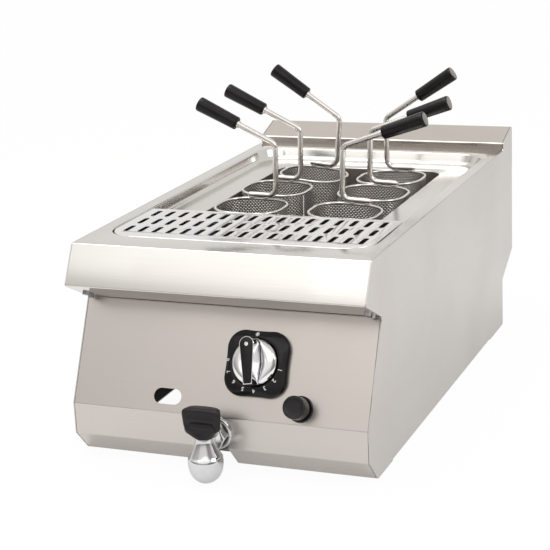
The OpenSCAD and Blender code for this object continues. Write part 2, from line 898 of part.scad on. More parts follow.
module gas_valve() {
    color("gray") at_panel(knob_x, knob_up) difference() {
        translate([-valve_half, -valve_half, valve_back])
            cube([2 * valve_half, 2 * valve_half, -sheet_t - valve_back]);
        post(plug_d + 2 * run_fit, valve_bore_low, valve_bore_top);
        post(spindle_hole_d, valve_bore_top - cut, 0);
    }
}

module valve_plug() {
    color("gold") at_panel(knob_x, knob_up) difference() {
        post(plug_d, plug_low, plug_top);
        post(spindle_d + 2 * run_fit, socket_low, plug_top + cut);
    }
}

module valve_spindle() {
    color("gold") at_panel(knob_x, knob_up) post(spindle_d, spindle_low, spindle_top);
}

module pilot_bracket() {
    low = burner_z - burner_d / 2;
    color("slategray") difference() {
        translate([pilot_x - pilot_w / 2, pilot_leg_y, low]) {
            cube([pilot_w, sheet_t, pilot_shelf_z - low]);
            translate([0, 0, pilot_shelf_z - low - sheet_t]) cube([pilot_w, pilot_shelf_d, sheet_t]);
        }
        for (i = [-1:1])
            translate([pilot_x + i * pilot_pitch, pilot_y, 0])
                post(pilot_stems[i + 1] + 2 * hole_fit, pilot_low, pilot_shelf_z + cut);
    }
}

// A piece that stands in the pilot bracket on its collar
module pilot_piece(i, tip_d, top) {
    translate([pilot_x + i * pilot_pitch, pilot_y, 0]) {
        post(pilot_stems[i + 1], pilot_low, pilot_shelf_z);
        post(pilot_stems[i + 1] + pilot_collar, pilot_shelf_z, pilot_shelf_z + pilot_collar_h);
        post(tip_d, pilot_shelf_z + pilot_collar_h, top);
    }
}

module pilot_burner() {
    color("gold") pilot_piece(-1, 7, pilot_top - 8);
}

module spark_electrode() {
    color("white") pilot_piece(0, 2.5, pilot_top);
}

module thermocouple() {
    color("orange") pilot_piece(1, 4, pilot_top);
}

// Knob and igniter

module bar_plan(grow) {
    wide = grip_bar_w / 2 + grow;
    thin = grip_tail_w / 2 + grow;
    translate([0, bar_tip]) circle(wide);
    polygon([[-wide, bar_tip], [-thin, bar_tail], [thin, bar_tail], [wide, bar_tip]]);
}

module knob_bezel() {
    color("black") at_panel(knob_x, knob_up) difference() {
        slab(0, bezel_t) rounded_rect(bezel_w, bezel_w, bezel_r);
        post(dial_d + 2 * dial_gap, bezel_floor, bezel_t + cut);
        post(spindle_hole_d, -cut, bezel_floor + cut);
    }
}

module knob_dial() {
    color("white") at_panel(knob_x, knob_up) difference() {
        union() {
            post(dial_d, dial_low, dial_edge);
            slab(dial_edge, dial_ridge_top) rotate([0, 0, bar_turn]) bar_plan(-bar_inset);
        }
        post(spindle_d, dial_low - cut, spindle_top);
    }
}

module knob_grip() {
    color("black") at_panel(knob_x, knob_up) slab(dial_ridge_top, knob_top) rotate([0, 0, bar_turn]) bar_plan(0);
}

module igniter_body() {
    color("dimgray") at_panel(igniter_x, igniter_up) difference() {
        union() {
            post(collar_d, 0, collar_t);
            post(barrel_d, barrel_low, 0);
            post(piezo_d, piezo_low, barrel_low);
        }
        post(button_d + 2 * run_fit, barrel_floor, collar_t + cut);
    }
}

module igniter_nut() {
    color("gray") at_panel(igniter_x, igniter_up) difference() {
        translate([0, 0, -sheet_t - nut_t]) cylinder(d = nut_d, h = nut_t, $fn = 6);
        post(barrel_d + 2 * hole_fit, -sheet_t - nut_t - cut, 0);
    }
}

module igniter_button() {
    color("black") at_panel(igniter_x, igniter_up) difference() {
        post(button_d, button_low, button_out);
        post(dish_d, button_out - dish_depth, button_out + cut);
    }
}

// Drain tray

module drain_tray() {
    tray_w = recess_w - 2 * tray_side_gap;
    tray_r = recess_r - 2 * tray_front_gap;
    slots = floor((tray_w - slot_w) / slot_pitch);
    color("whitesmoke") difference() {
        slab(floor_z + rest_gap, tray_top) tray_plan(tray_w, tray_r, 0);
        slab(floor_z + rest_gap - cut, tray_top - sheet_t) tray_plan(tray_w, tray_r, -sheet_t);
        for (i = [0:slots - 1], j = [-1:1])
            translate([(i - (slots - 1) / 2) * slot_pitch, tray_front + tray_d / 2 + j * slot_row_pitch, 0])
                slab(tray_top - sheet_t - cut, tray_top + cut) rotate(90) stadium(slot_l, slot_w);
    }
}

// The tray's outline has the recess's round corners in front and square ones behind
module tray_plan(w, r, grow) {
    back = tray_front + tray_d;
    plan(w, tray_front, back, r, grow);
    translate([-w / 2 - grow, tray_front + tray_d / 2]) square([w + 2 * grow, tray_d / 2 + grow]);
}

// Baskets

module basket_mesh() {
    top = rim_z - rim_wire / 2 - run_fit;
    difference() {
        slab(basket_bottom, top) rounded_rect(basket_w, basket_d, basket_r);
        slab(basket_bottom + mesh_t, top + cut)
            rounded_rect(basket_w - 2 * mesh_t, basket_d - 2 * mesh_t, basket_r - mesh_t);
    }
}

// The rim wire's four sides and four corners
module basket_rim() {
    side_x = basket_w / 2 - basket_r;
    side_y = basket_d / 2 - basket_r;
    for (end = [-1, 1]) {
        translate([end * basket_w / 2, -side_y, 0]) rotate([-90, 0, 0])
            cylinder(d = rim_wire, h = 2 * side_y);
        translate([-side_x, end * basket_d / 2, 0]) rotate([0, 90, 0])
            cylinder(d = rim_wire, h = 2 * side_x);
    }
    translate([side_x, side_y, 0]) ring_part(basket_r, rim_wire, 90);
    translate([-side_x, side_y, 0]) rotate([0, 0, 90]) ring_part(basket_r, rim_wire, 90);
    translate([-side_x, -side_y, 0]) rotate([0, 0, 180]) ring_part(basket_r, rim_wire, 90);
    translate([side_x, -side_y, 0]) rotate([0, 0, 270]) ring_part(basket_r, rim_wire, 90);
}

// The handle wire: a foot along the rim, an upright and a sloping arm
module basket_handle(tilt) {
    turn = 90 - tilt;
    setback = handle_bend * tan(turn / 2);
    upright_l = handle_rise - handle_bend - setback;
    translate([-handle_in, basket_d / 2, foot_z]) rotate([90, 0, 0]) {
        translate([handle_bend, 0, 0]) rotate([0, 90, 0])
            cylinder(d = handle_wire, h = handle_foot - handle_bend);
        translate([handle_bend, handle_bend, 0]) rotate([0, 0, 180])
            ring_part(handle_bend, handle_wire, 90);
        translate([0, handle_bend, 0]) rotate([-90, 0, 0]) cylinder(d = handle_wire, h = upright_l);
        translate([0, handle_bend + upright_l, 0]) sphere(d = joint_bead * handle_wire);
        translate([handle_bend, handle_bend + upright_l, 0]) rotate([0, 0, 180 - turn]) {
            ring_part(handle_bend, handle_wire, turn);
            translate([handle_bend, 0, 0]) {
                sphere(d = joint_bead * handle_wire);
                rotate([90, 0, 0]) cylinder(d = handle_wire, h = handle_reach - setback - handle_wire);
            }
        }
    }
}

module basket_frame(tilt) {
    translate([0, 0, rim_z]) basket_rim();
    basket_handle(tilt);
}

module basket_grip(tilt) {
    translate([-handle_in, basket_d / 2, foot_z + handle_rise]) rotate([0, 90 - tilt, 0])
        translate([0, 0, handle_reach - grip_l]) difference() {
            cylinder(d1 = grip_neck_d, d2 = grip_d, h = grip_l);
            post(handle_wire, -cut, grip_l - handle_wire);
        }
}

// Places a piece drawn about a right-hand basket's middle
module at_basket(row, side) {
    translate([0, first_row_y + row * row_pitch, 0])
        if (side == 0) mirror([1, 0, 0]) translate([column_x + left_stray[row], left_drift[row], 0]) children();
        else translate([column_x + right_stray[row], right_drift[row], 0]) children();
}

function tilt_of(row) = row == 2 ? handle_tilt_back : handle_tilt;

at_origin() worktop();
at_origin() tank();
at_origin() false_bottom();
at_origin() upstand();
at_origin() flue_cover();
at_origin() flue_duct();
at_origin() side_panel_left();
at_origin() side_panel_right();
at_origin() control_panel();
at_origin() rear_panel();
at_origin() base_rail_left();
at_origin() base_rail_right();
at_origin() base_rail_front();
at_origin() base_rail_rear();
at_origin() foot_pads();
at_origin() fascia_screws();
at_origin() heat_shield();
at_origin() burner_tubes();
at_origin() burner_bars();
at_origin() injector_manifold();
at_origin() gas_inlet();
at_origin() gas_supply_pipe();
at_origin() burner_feed_pipe();
at_origin() gas_valve();
at_origin() pilot_bracket();
at_origin() pilot_burner();
at_origin() spark_electrode();
at_origin() thermocouple();
at_origin() igniter_body();
at_origin() igniter_nut();
at_origin() igniter_button();
at_origin() knob_bezel();
at_origin() valve_plug();
at_origin() valve_spindle();
at_origin() knob_dial();
at_origin() knob_grip();
at_origin() drain_pipe();
at_origin() tap_flange();
at_origin() tap_body();
at_origin() tap_stem();
at_origin() tap_handle();
at_origin() drain_tray();
for (row = [0:2], side = [0:1]) {
    name = BASKETS[2 * row + side];
    color("gray") at_origin() at_basket(row, side) basket_mesh();
    color("white") at_origin() at_basket(row, side) basket_frame(tilt_of(row));
    color("black") at_origin() at_basket(row, side) basket_grip(tilt_of(row));
}
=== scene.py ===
"""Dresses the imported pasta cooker: steel sheets, wire baskets, knob, igniter and drain tap."""

import logging
import math
from collections.abc import Callable, Iterable
from dataclasses import dataclass, field, replace
from enum import Enum

import bmesh
import bpy
import numpy as np
from mathutils import Matrix, Vector


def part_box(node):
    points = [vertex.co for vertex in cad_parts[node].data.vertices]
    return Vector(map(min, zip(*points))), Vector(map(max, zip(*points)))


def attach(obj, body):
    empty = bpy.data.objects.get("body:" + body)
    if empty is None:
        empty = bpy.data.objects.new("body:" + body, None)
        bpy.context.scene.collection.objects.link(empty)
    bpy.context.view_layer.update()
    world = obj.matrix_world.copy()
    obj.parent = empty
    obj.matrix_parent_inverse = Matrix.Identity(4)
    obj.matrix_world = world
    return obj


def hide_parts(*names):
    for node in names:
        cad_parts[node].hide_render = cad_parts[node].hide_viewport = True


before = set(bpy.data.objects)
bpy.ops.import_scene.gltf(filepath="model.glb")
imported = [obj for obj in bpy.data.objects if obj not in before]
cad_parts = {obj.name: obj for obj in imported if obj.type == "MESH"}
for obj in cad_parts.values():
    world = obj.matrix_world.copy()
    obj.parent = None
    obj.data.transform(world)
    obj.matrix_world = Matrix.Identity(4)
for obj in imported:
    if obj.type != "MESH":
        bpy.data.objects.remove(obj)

log = logging.getLogger("pasta_cooker")

MM = 0.001
# Millimetres from the part's origin forward to the worktop's front edge, where the drawing starts.
ORIGIN_Y = 307.1
# Points closer than this, in millimetres, count as one height or one edge.
NEAR = 0.01
X_AXIS, Y_AXIS, Z_AXIS = Vector((1, 0, 0)), Vector((0, 1, 0)), Vector((0, 0, 1))
Colour = tuple[float, float, float]
Point = tuple[float, float, float]


# Frames


def drawing_frame() -> Matrix:
    """Returns the matrix from the drawing's millimetres to the part's frame."""
    return Matrix.Scale(MM, 4) @ Matrix.Translation((0, -ORIGIN_Y, 0))


@dataclass(frozen=True)
class PanelFrame:
    """The sloping control panel: x to the right, y up the slope and z out of the panel."""

    bend_y: float = -28.5
    bend_z: float = 72.0
    # The panel goes back 60.5 mm while it rises 126 mm.
    tilt: float = math.atan2(60.5, 126.0)

    def at(self, x: float, up: float) -> Matrix:
        """Places a piece on the panel.

        Args:
            x: Distance to the right of the middle, in millimetres.
            up: Distance up the slope from the panel's bend, in millimetres.

        Returns:
            The matrix from the piece's own frame to the part's frame.
        """
        spot = (x, self.bend_y + up * math.sin(self.tilt), self.bend_z + up * math.cos(self.tilt))
        return drawing_frame() @ Matrix.Translation(spot) @ Matrix.Rotation(math.pi / 2 - self.tilt, 4, "X")


# Modelling


class Pick(Enum):
    """Kind of mesh element that a selection works on."""

    VERT = "VERT"
    EDGE = "EDGE"
    FACE = "FACE"


@dataclass(frozen=True)
class Plan:
    """A rounded rectangle between a front and a back edge, seen from above."""

    width: float
    front: float
    back: float
    radius: float

    def grown(self, by: float) -> "Plan":
        """Returns the same outline moved outwards by a distance."""
        return Plan(self.width + 2 * by, self.front - by, self.back + by, self.radius + by)


class Workpiece:
    """A mesh that is modelled in millimetres with Blender's edit-mode operators."""

    def __init__(self, name: str) -> None:
        """Starts an empty mesh in edit mode, with nothing else selected.

        Args:
            name: Name of the object and of its mesh.
        """
        if bpy.context.mode != "OBJECT":
            bpy.ops.object.mode_set(mode="OBJECT")
        bpy.ops.object.select_all(action="DESELECT")
        self.obj = bpy.data.objects.new(name, bpy.data.meshes.new(name))
        bpy.context.scene.collection.objects.link(self.obj)
        bpy.context.view_layer.objects.active = self.obj
        self.obj.select_set(True)
        bpy.ops.object.mode_set(mode="EDIT")

    @classmethod
    def from_arrays(cls, name: str, points: np.ndarray, faces: np.ndarray) -> "Workpiece":
        """Makes a finished mesh from arrays of points and four-sided faces.

        Args:
            name: Name of the object.
            points: Points in millimetres, one per row.
            faces: Four point indices per row.

        Returns:
            The workpiece, out of edit mode.
        """
        piece = cls(name)
        piece.done()
        piece.obj.data.from_pydata(points.reshape(-1, 3), [], faces.reshape(-1, 4))
        return piece

    def mesh(self) -> bmesh.types.BMesh:
        """Returns the mesh that is being edited."""
        return bmesh.from_edit_mesh(self.obj.data)

    def select(self, kind: Pick, test: Callable[..., bool]) -> None:
        """Selects the elements that pass a test, and no others.

        Args:
            kind: Vertices, edges or faces.
            test: Says whether one element is wanted.
        """
        bpy.ops.mesh.select_mode(type=kind.value)
        bpy.ops.mesh.select_all(action="DESELECT")
        mesh = self.mesh()
        elements = {Pick.VERT: mesh.verts, Pick.EDGE: mesh.edges, Pick.FACE: mesh.faces}[kind]
        for element in [e for e in elements if test(e)]:
            element.select_set(True)
        mesh.select_flush_mode()
        bmesh.update_edit_mesh(self.obj.data)

    def plate(self, width: float, depth: float, centre: Point = (0, 0, 0)) -> None:
        """Adds a flat rectangle and leaves it selected.

        Args:
            width: Its size along x.
            depth: Its size along y.
            centre: Its middle.
        """
        bpy.ops.mesh.select_all(action="DESELECT")
        bpy.ops.mesh.primitive_plane_add(size=1, location=centre)
        bpy.ops.transform.resize(value=(width, depth, 1), center_override=centre)

    def plan(self, plan: Plan, z: float, steps: int) -> None:
        """Adds a rounded rectangle at a height and leaves it selected.

        Args:
            plan: The outline.
            z: Height of the face.
            steps: Segments of each corner.
        """
        self.plate(plan.width, plan.back - plan.front, (0, (plan.front + plan.back) / 2, z))
        bpy.ops.mesh.bevel(offset=plan.radius, segments=steps, affect="VERTICES")

    def ring(
        self,
        radius: float,
        count: int,
        centre: Point = (0, 0, 0),
        heading: Vector = Z_AXIS,
        filled: bool = False,
    ) -> None:
        """Adds a circle across a heading and leaves it selected.

        Args:
            radius: Its radius.
            count: Number of its points.
            centre: Its middle.
            heading: Direction of its axis.
            filled: True if a face closes it.
        """
        bpy.ops.mesh.select_all(action="DESELECT")
        turn = heading.to_track_quat("Z", "Y").to_euler()
        fill = "NGON" if filled else "NOTHING"
        bpy.ops.mesh.primitive_circle_add(
            vertices=count, radius=radius, fill_type=fill, location=centre, rotation=turn
        )

    def bead(self, centre: Point, radii: Point) -> None:
        """Adds a weld bead: a ball that is stretched along each axis.

        Args:
            centre: Its middle.
            radii: Its radius along each axis.
        """
        bpy.ops.mesh.select_all(action="DESELECT")
        bpy.ops.mesh.primitive_uv_sphere_add(segments=14, ring_count=8, radius=1, location=centre)
        bpy.ops.transform.resize(value=radii, center_override=centre)

    def extrude(self, move: Point | Vector) -> None:
        """Extrudes the selection by a move."""
        bpy.ops.mesh.extrude_region_move(TRANSFORM_OT_translate={"value": tuple(move)})

    def spin(self, centre: Point, axis: Vector, degrees: float, steps: int) -> None:
        """Extrudes the selection round an axis, right-handed."""
        bpy.ops.mesh.spin(steps=steps, angle=-math.radians(degrees), center=centre, axis=axis)

    def fillet(self, radius: float, steps: int, flat_first: bool, rise: int) -> None:
        """Insets the selected face along a quarter round.

        Args:
            radius: Radius of the round.
            steps: Number of insets.
            flat_first: True if the round starts level and ends upright.
            rise: 1 to go up, -1 to go down.
        """
        angles = [math.pi / 2 * i / steps for i in range(steps + 1)]
        level = [math.sin(a) if flat_first else 1 - math.cos(a) for a in angles]
        upright = [1 - math.cos(a) if flat_first else math.sin(a) for a in angles]
        for i in range(steps):
            inward, along = level[i + 1] - level[i], upright[i + 1] - upright[i]
            bpy.ops.mesh.inset(thickness=radius * inward, depth=rise * radius * along)

    def drop_face(self) -> None:
        """Removes the selected faces and keeps their edges."""
        bpy.ops.mesh.delete(type="ONLY_FACE")

    def bridge_at(self, z: float) -> None:
        """Joins the two open outlines that lie at a height.

        Args:
            z: The height.
        """
        self.select(
            Pick.EDGE,
            lambda e: (e.is_boundary or e.is_wire) and all(abs(v.co.z - z) < NEAR for v in e.verts),
        )
        bpy.ops.mesh.bridge_edge_loops()

    def turned(self, profile: Iterable[tuple[float, float]], count: int = 48, closed: bool = False) -> None:
        """Turns a piece on the z axis from its radii and heights.

        Args:
            profile: Radius and height of each ring, in order.
            count: Points on each ring.
            closed: True if the last ring meets the first, as on a piece with a bore.
        """
        (last_r, last_z), *rest = profile
        self.ring(last_r, count, (0, 0, last_z), filled=not closed)
        for radius, z in rest:
            self.extrude((0, 0, z - last_z))
            scale = radius / last_r
            bpy.ops.transform.resize(value=(scale, scale, 1), center_override=(0, 0, z))
            last_r, last_z = radius, z
        self.outward()

    def outward(self) -> None:
        """Merges doubled points and turns every face outwards."""
        bpy.ops.mesh.select_all(action="SELECT")
        bpy.ops.mesh.remove_doubles(threshold=0.002)
        bpy.ops.mesh.normals_make_consistent(inside=False)

    def done(self) -> None:
        """Leaves edit mode."""
        if self.obj.mode == "EDIT":
            bpy.ops.object.mode_set(mode="OBJECT")

    def modify(self, kind: str, **settings: object) -> None:
        """Adds a modifier and applies it.

        Args:
            kind: Blender's name for the modifier.
            settings: Values to set on it.
        """
        self.done()
        bpy.context.view_layer.objects.active = self.obj
        modifier = self.obj.modifiers.new(kind.lower(), kind)
        for key, value in settings.items():
            setattr(modifier, key, value)
        bpy.ops.object.modifier_apply(modifier=modifier.name)

    def cut(self, tool: "Workpiece") -> None:
        """Cuts another workpiece out of this one and removes it.

        Args:
            tool: The workpiece that is used up.
        """
        tool.done()
        self.modify("BOOLEAN", object=tool.obj, operation="DIFFERENCE", solver="EXACT")
        bpy.data.objects.remove(tool.obj)

    def join(self, *others: "Workpiece") -> None:
        """Takes the meshes of other workpieces into this one.

        Args:
            others: The workpieces that are used up.
        """
        for piece in (self, *others):
            piece.done()
        bpy.ops.object.select_all(action="DESELECT")
        for piece in (self, *others):
            piece.obj.select_set(True)
        bpy.context.view_layer.objects.active = self.obj
        bpy.ops.object.join()

    def place(self, matrix: Matrix) -> None:
        """Moves the mesh's points by a matrix."""
        self.done()
        self.obj.data.transform(matrix)


class WireRun:
    """A round wire drawn on a workpiece by extruding and spinning one section."""

    def __init__(
        self,
        piece: Workpiece,
        radius: float,
        start: Point,
        heading: Vector,
        sides: int = 12,
        capped: bool = True,
    ) -> None:
        """Starts the wire.

        Args:
            piece: The workpiece that gets the wire.
            radius: Radius of the wire.
            start: Middle of its first section.
            heading: Direction in which it starts.
            sides: Points on its section.
            capped: True if its ends are closed.
        """
        self.piece = piece
        self.spot = Vector(start)
        self.heading = heading.normalized()
        piece.ring(radius, sides, start, self.heading, capped)

    def straight(self, length: float) -> "WireRun":
        """Draws a straight run.

        Args:
            length: Its length.

        Returns:
            The wire.
        """
        self.piece.extrude(self.heading * length)
        self.spot += self.heading * length
        return self

    def bend(self, degrees: float, radius: float, axis: Vector, steps: int = 8) -> "WireRun":
        """Draws a bend.

        Args:
            degrees: Angle of the bend, right-handed about the axis.
            radius: Radius of the bend at the wire's middle.
            axis: Axis of the bend.
            steps: Segments of the bend.

        Returns:
            The wire.
        """
        side = math.copysign(1, degrees)
        centre = self.spot + axis.cross(self.heading) * radius * side
        self.piece.spin(tuple(centre), axis, degrees, steps)
        turn = Matrix.Rotation(math.radians(degrees), 3, axis)
        self.spot = centre + turn @ (self.spot - centre)
        self.heading = turn @ self.heading
        return self


def hexagon_nut(name: str, size: tuple[float, float], start: float, edge: float, steps: int) -> Workpiece:
    """Makes a hexagon with rounded edges on the z axis, with a corner along y.

    Args:
        name: Name of the object.
        size: Its radius over the corners and its length.
        start: Height of its lower face.
        edge: Radius of its edges.
        steps: Segments of each edge.

    Returns:
        The workpiece, in edit mode.
    """
    nut = Workpiece(name)
    nut.ring(size[0], 6, (0, 0, start), filled=True)
    nut.extrude((0, 0, size[1]))
    nut.outward()
    nut.select(Pick.EDGE, lambda e: True)
    bpy.ops.mesh.bevel(offset=edge, segments=steps, affect="EDGES")
    return nut


def lofted(name: str, loops: np.ndarray) -> Workpiece:
    """Skins a stack of closed outlines and closes both ends.

    Args:
        name: Name of the object.
        loops: Points of each outline, as levels by points by three; the first and last lie level.

    Returns:
        The workpiece, in edit mode.
    """
    levels, count, _ = loops.shape
    column = np.arange(count)
    faces = [
        np.stack([k * count + column, k * count + np.roll(column, -1),
                  (k + 1) * count + np.roll(column, -1), (k + 1) * count + column], axis=1)
        for k in range(levels - 1)
    ]
    piece = Workpiece.from_arrays(name, loops, np.concatenate(faces))
    bpy.ops.object.mode_set(mode="EDIT")
    for first in (0, (levels - 1) * count):
        ends = range(first, first + count)
        piece.select(Pick.EDGE, lambda e: e.is_boundary and all(v.index in ends for v in e.verts))
        bpy.ops.mesh.edge_face_add()
    piece.outward()
    return piece


def square_reach(angles: np.ndarray, half: float, corner: float, hollow: float) -> np.ndarray:
    """Measures a rounded square with slightly hollow sides from its middle.

    Args:
        angles: Directions in plan.
        half: Half of the square's width.
        corner: Radius of its corners.
        hollow: How far the middle of each side is drawn in.

    Returns:
        The distance to the edge in each direction.
    """
    fold = np.abs((angles + math.pi / 4) % (math.pi / 2) - math.pi / 4)
    along = half * np.tan(fold)
    centre, off = (half - corner) * math.sqrt(2), math.pi / 4 - fold
    rounded = centre * np.cos(off) + np.sqrt(np.maximum(corner**2 - (centre * np.sin(off)) ** 2, 0))
    reach = np.where(along > half - corner, rounded, half / np.cos(fold))
    return reach - hollow * np.maximum(1 - (along / (half - corner)) ** 2, 0)


def polar_loop(angles: np.ndarray, reach: np.ndarray | float, z: float) -> np.ndarray:
    """Returns the points of a level outline from its directions and distances."""
    return np.stack([reach * np.cos(angles), reach * np.sin(angles), np.full(len(angles), z)], axis=1)


# Finishes


class NodeBoard:
    """Adds and joins the nodes of one shader tree."""

    def __init__(self, tree: bpy.types.NodeTree) -> None:
        """Takes the tree to work on."""
        self.tree = tree

    @classmethod
    def cleared(cls, owner: bpy.types.Material | bpy.types.World) -> "NodeBoard":
        """Starts on the tree of a material or a world, with nothing in it.

        Args:
            owner: The material or the world.

        Returns:
            The board.
        """
        owner.use_nodes = True
        owner.node_tree.nodes.clear()
        return cls(owner.node_tree)

    def add(
        self, kind: str, inputs: dict[str | int, object] | None = None, **settings: object
    ) -> bpy.types.Node:
        """Adds a node.

        Args:
            kind: Blender's type name of the node, without its ShaderNode prefix.
            inputs: Values, or output sockets to link, by input name or number.
            settings: Attributes to set on the node.

        Returns:
            The node.
        """
        node = self.tree.nodes.new("ShaderNode" + kind)
        for key, value in settings.items():
            setattr(node, key, value)
        for key, value in (inputs or {}).items():
            if isinstance(value, bpy.types.NodeSocket):
                self.tree.links.new(value, node.inputs[key])
            else:
                node.inputs[key].default_value = value
        return node

    def math(self, operation: str, first: object, second: object) -> bpy.types.NodeSocket:
        """Returns the result of one sum on values or sockets."""
        return self.add("Math", {0: first, 1: second}, operation=operation).outputs[0]

    def vector(self, operation: str, *values: object) -> bpy.types.NodeSocket:
        """Returns the result of one vector sum on values or sockets."""
        return self.add("VectorMath", dict(enumerate(values)), operation=operation).outputs[0]

    def weighed(self, first: object, share: float, second: object, rest: float) -> bpy.types.NodeSocket:
        """Returns the sum of two values, each times its own share."""
        return self.math("ADD", self.math("MULTIPLY", first, share), self.math("MULTIPLY", second, rest))

    def ranged(self, value: bpy.types.NodeSocket, low: float, high: float) -> bpy.types.NodeSocket:
        """Returns a mask of 0 to 1 moved to another range."""
        return self.add("MapRange", {"Value": value, "To Min": low, "To Max": high}).outputs[0]

    def eased(
        self, value: bpy.types.NodeSocket, low: float, high: float, start: float = 0.0, end: float = 1.0
    ) -> bpy.types.NodeSocket:
        """Steps softly from one value to another.

        Args:
            value: What the step goes by.
            low: Where it starts.
            high: Where it ends.
            start: Result up to low.
            end: Result from high on.

        Returns:
            The result.
        """
        inputs = {"Value": value, "From Min": low, "From Max": high, "To Min": start, "To Max": end}
        return self.add("MapRange", inputs, interpolation_type="SMOOTHSTEP").outputs[0]

    def blend(self, mask: bpy.types.NodeSocket, first: object, second: object) -> bpy.types.NodeSocket:
        """Mixes two colours by a mask.

        Args:
            mask: Share of the second colour, 0 to 1.
            first: A colour or a socket.
            second: A colour or a socket.

        Returns:
            The mixed colour.
        """
        ends = [c if isinstance(c, bpy.types.NodeSocket) else (*c, 1) for c in (first, second)]
        return self.add("Mix", {"Factor": mask, 6: ends[0], 7: ends[1]}, data_type="RGBA").outputs[2]

    def group(self, tree: bpy.types.NodeTree, **inputs: object) -> "bpy.types.NodeOutputs":
        """Returns the outputs of an effect that is placed with its own inputs."""
        return self.add("Group", inputs, node_tree=tree).outputs


class Effect:
    """A node group with named sockets that several finishes place with their own values."""

    made: dict[str, bpy.types.NodeTree] = {}

    @classmethod
    def start(
        cls, name: str, takes: dict[str, str], gives: Iterable[str]
    ) -> tuple[NodeBoard, object, object]:
        """Starts a group.

        Args:
            name: Name of the group.
            takes: Input names with their socket kinds.
            gives: Names of the outputs, all of them values.

        Returns:
            The board to build on, the group's inputs and its outputs.
        """
        tree = bpy.data.node_groups.new(name, "ShaderNodeTree")
        for key, kind in takes.items():
            tree.interface.new_socket(key, in_out="INPUT", socket_type=f"NodeSocket{kind}")
        for key in gives:
            tree.interface.new_socket(key, in_out="OUTPUT", socket_type="NodeSocketFloat")
        cls.made[name] = tree
        inside = tree.nodes.new("NodeGroupInput").outputs
        outside = tree.nodes.new("NodeGroupOutput").inputs
        return NodeBoard(tree), inside, outside

    @classmethod
    def grain(cls) -> bpy.types.NodeTree:
        """Draws the grain of brushed metal: fine and broad streaks that follow the stretch.

        Returns:
            The group, made once.
        """
        if "drawn_grain" not in cls.made:
            takes = {"Vector": "Vector", "Stretch": "Vector"}
            board, given, out = cls.start("drawn_grain", takes, ["Streak"])
            drawn = board.vector("MULTIPLY", given["Vector"], given["Stretch"])
            broad = board.vector("MULTIPLY", drawn, (0.16, 0.16, 0.16))
            fine = board.add("TexNoise", {"Vector": drawn, "Scale": 1.0, "Detail": 2.0}).outputs[0]
            wide = board.add("TexNoise", {"Vector": broad, "Scale": 1.0, "Detail": 3.0}).outputs[0]
            mixed = board.weighed(fine, 0.6, wide, 0.4)
            streak = board.add("MapRange", {"Value": mixed, "From Min": 0.3, "From Max": 0.7}).outputs[0]
            board.tree.links.new(streak, out["Streak"])
        return cls.made["drawn_grain"]

    @classmethod
    def blotch(cls) -> bpy.types.NodeTree:
        """Draws soft uneven patches, as handling, heat and water leave them.

        Returns:
            The group, made once.
        """
        if "soft_patches" not in cls.made:
            takes = {"Vector": "Vector", "Scale": "Float"}
            board, given, out = cls.start("soft_patches", takes, ["Patch"])
            inputs = {"Vector": given["Vector"], "Scale": given["Scale"], "Detail": 4.0, "Distortion": 0.6}
            noise = board.add("TexNoise", inputs).outputs[0]
            board.tree.links.new(board.eased(noise, 0.35, 0.68), out["Patch"])
        return cls.made["soft_patches"]

    @classmethod
    def well(cls) -> bpy.types.NodeTree:
        """Draws a soft-edged box: the mask of the painted shade on the drain well's floor under the tray.

        Returns:
            The group, made once.
        """
        if "painted_well_shade_box" not in cls.made:
            takes = {"Vector": "Vector", "Centre": "Vector", "Half": "Vector"}
            board, given, out = cls.start("painted_well_shade_box", takes, ["Inside"])
            away = board.vector("ABSOLUTE", board.vector("SUBTRACT", given["Vector"], given["Centre"]))
            depth = board.vector("SUBTRACT", given["Half"], away)
            parts = board.add("SeparateXYZ", {0: depth}).outputs
            least = board.math("MINIMUM", board.math("MINIMUM", parts["X"], parts["Y"]), parts["Z"])
            inside = board.add("MapRange", {"Value": least, "From Max": 0.004}).outputs[0]
            board.tree.links.new(inside, out["Inside"])
        return cls.made["painted_well_shade_box"]

    @classmethod
    def pebble(cls) -> bpy.types.NodeTree:
        """Draws the fine pebbled skin of moulded or cast pieces.

        Returns:
            The group, made once.
        """
        if "moulded_skin" not in cls.made:
            takes = {"Vector": "Vector", "Scale": "Float"}
            board, given, out = cls.start("moulded_skin", takes, ["Height"])
            inputs = {"Vector": given["Vector"], "Scale": given["Scale"]}
            cells = board.add("TexVoronoi", inputs, feature="SMOOTH_F1").outputs["Distance"]
            height = board.add("MapRange", {"Value": cells, "From Max": 0.8}).outputs[0]
            board.tree.links.new(height, out["Height"])
        return cls.made["moulded_skin"]


# Shares of patches and streaks in the mask of a drawn sheet.
PATCH_SHARE, STREAK_SHARE = 0.55, 0.45
# Colour of the painted shade on the drain well's floor under the tray, and what it adds to the roughness.
PAINTED_WELL_SHADE, PAINTED_WELL_SHADE_ROUGHENS = (0.03, 0.028, 0.026), 0.3
# Depth of the bump in metres, and roughness of a clear coat.
BUMP_DEPTH, COAT_ROUGHNESS = 0.0004, 0.08


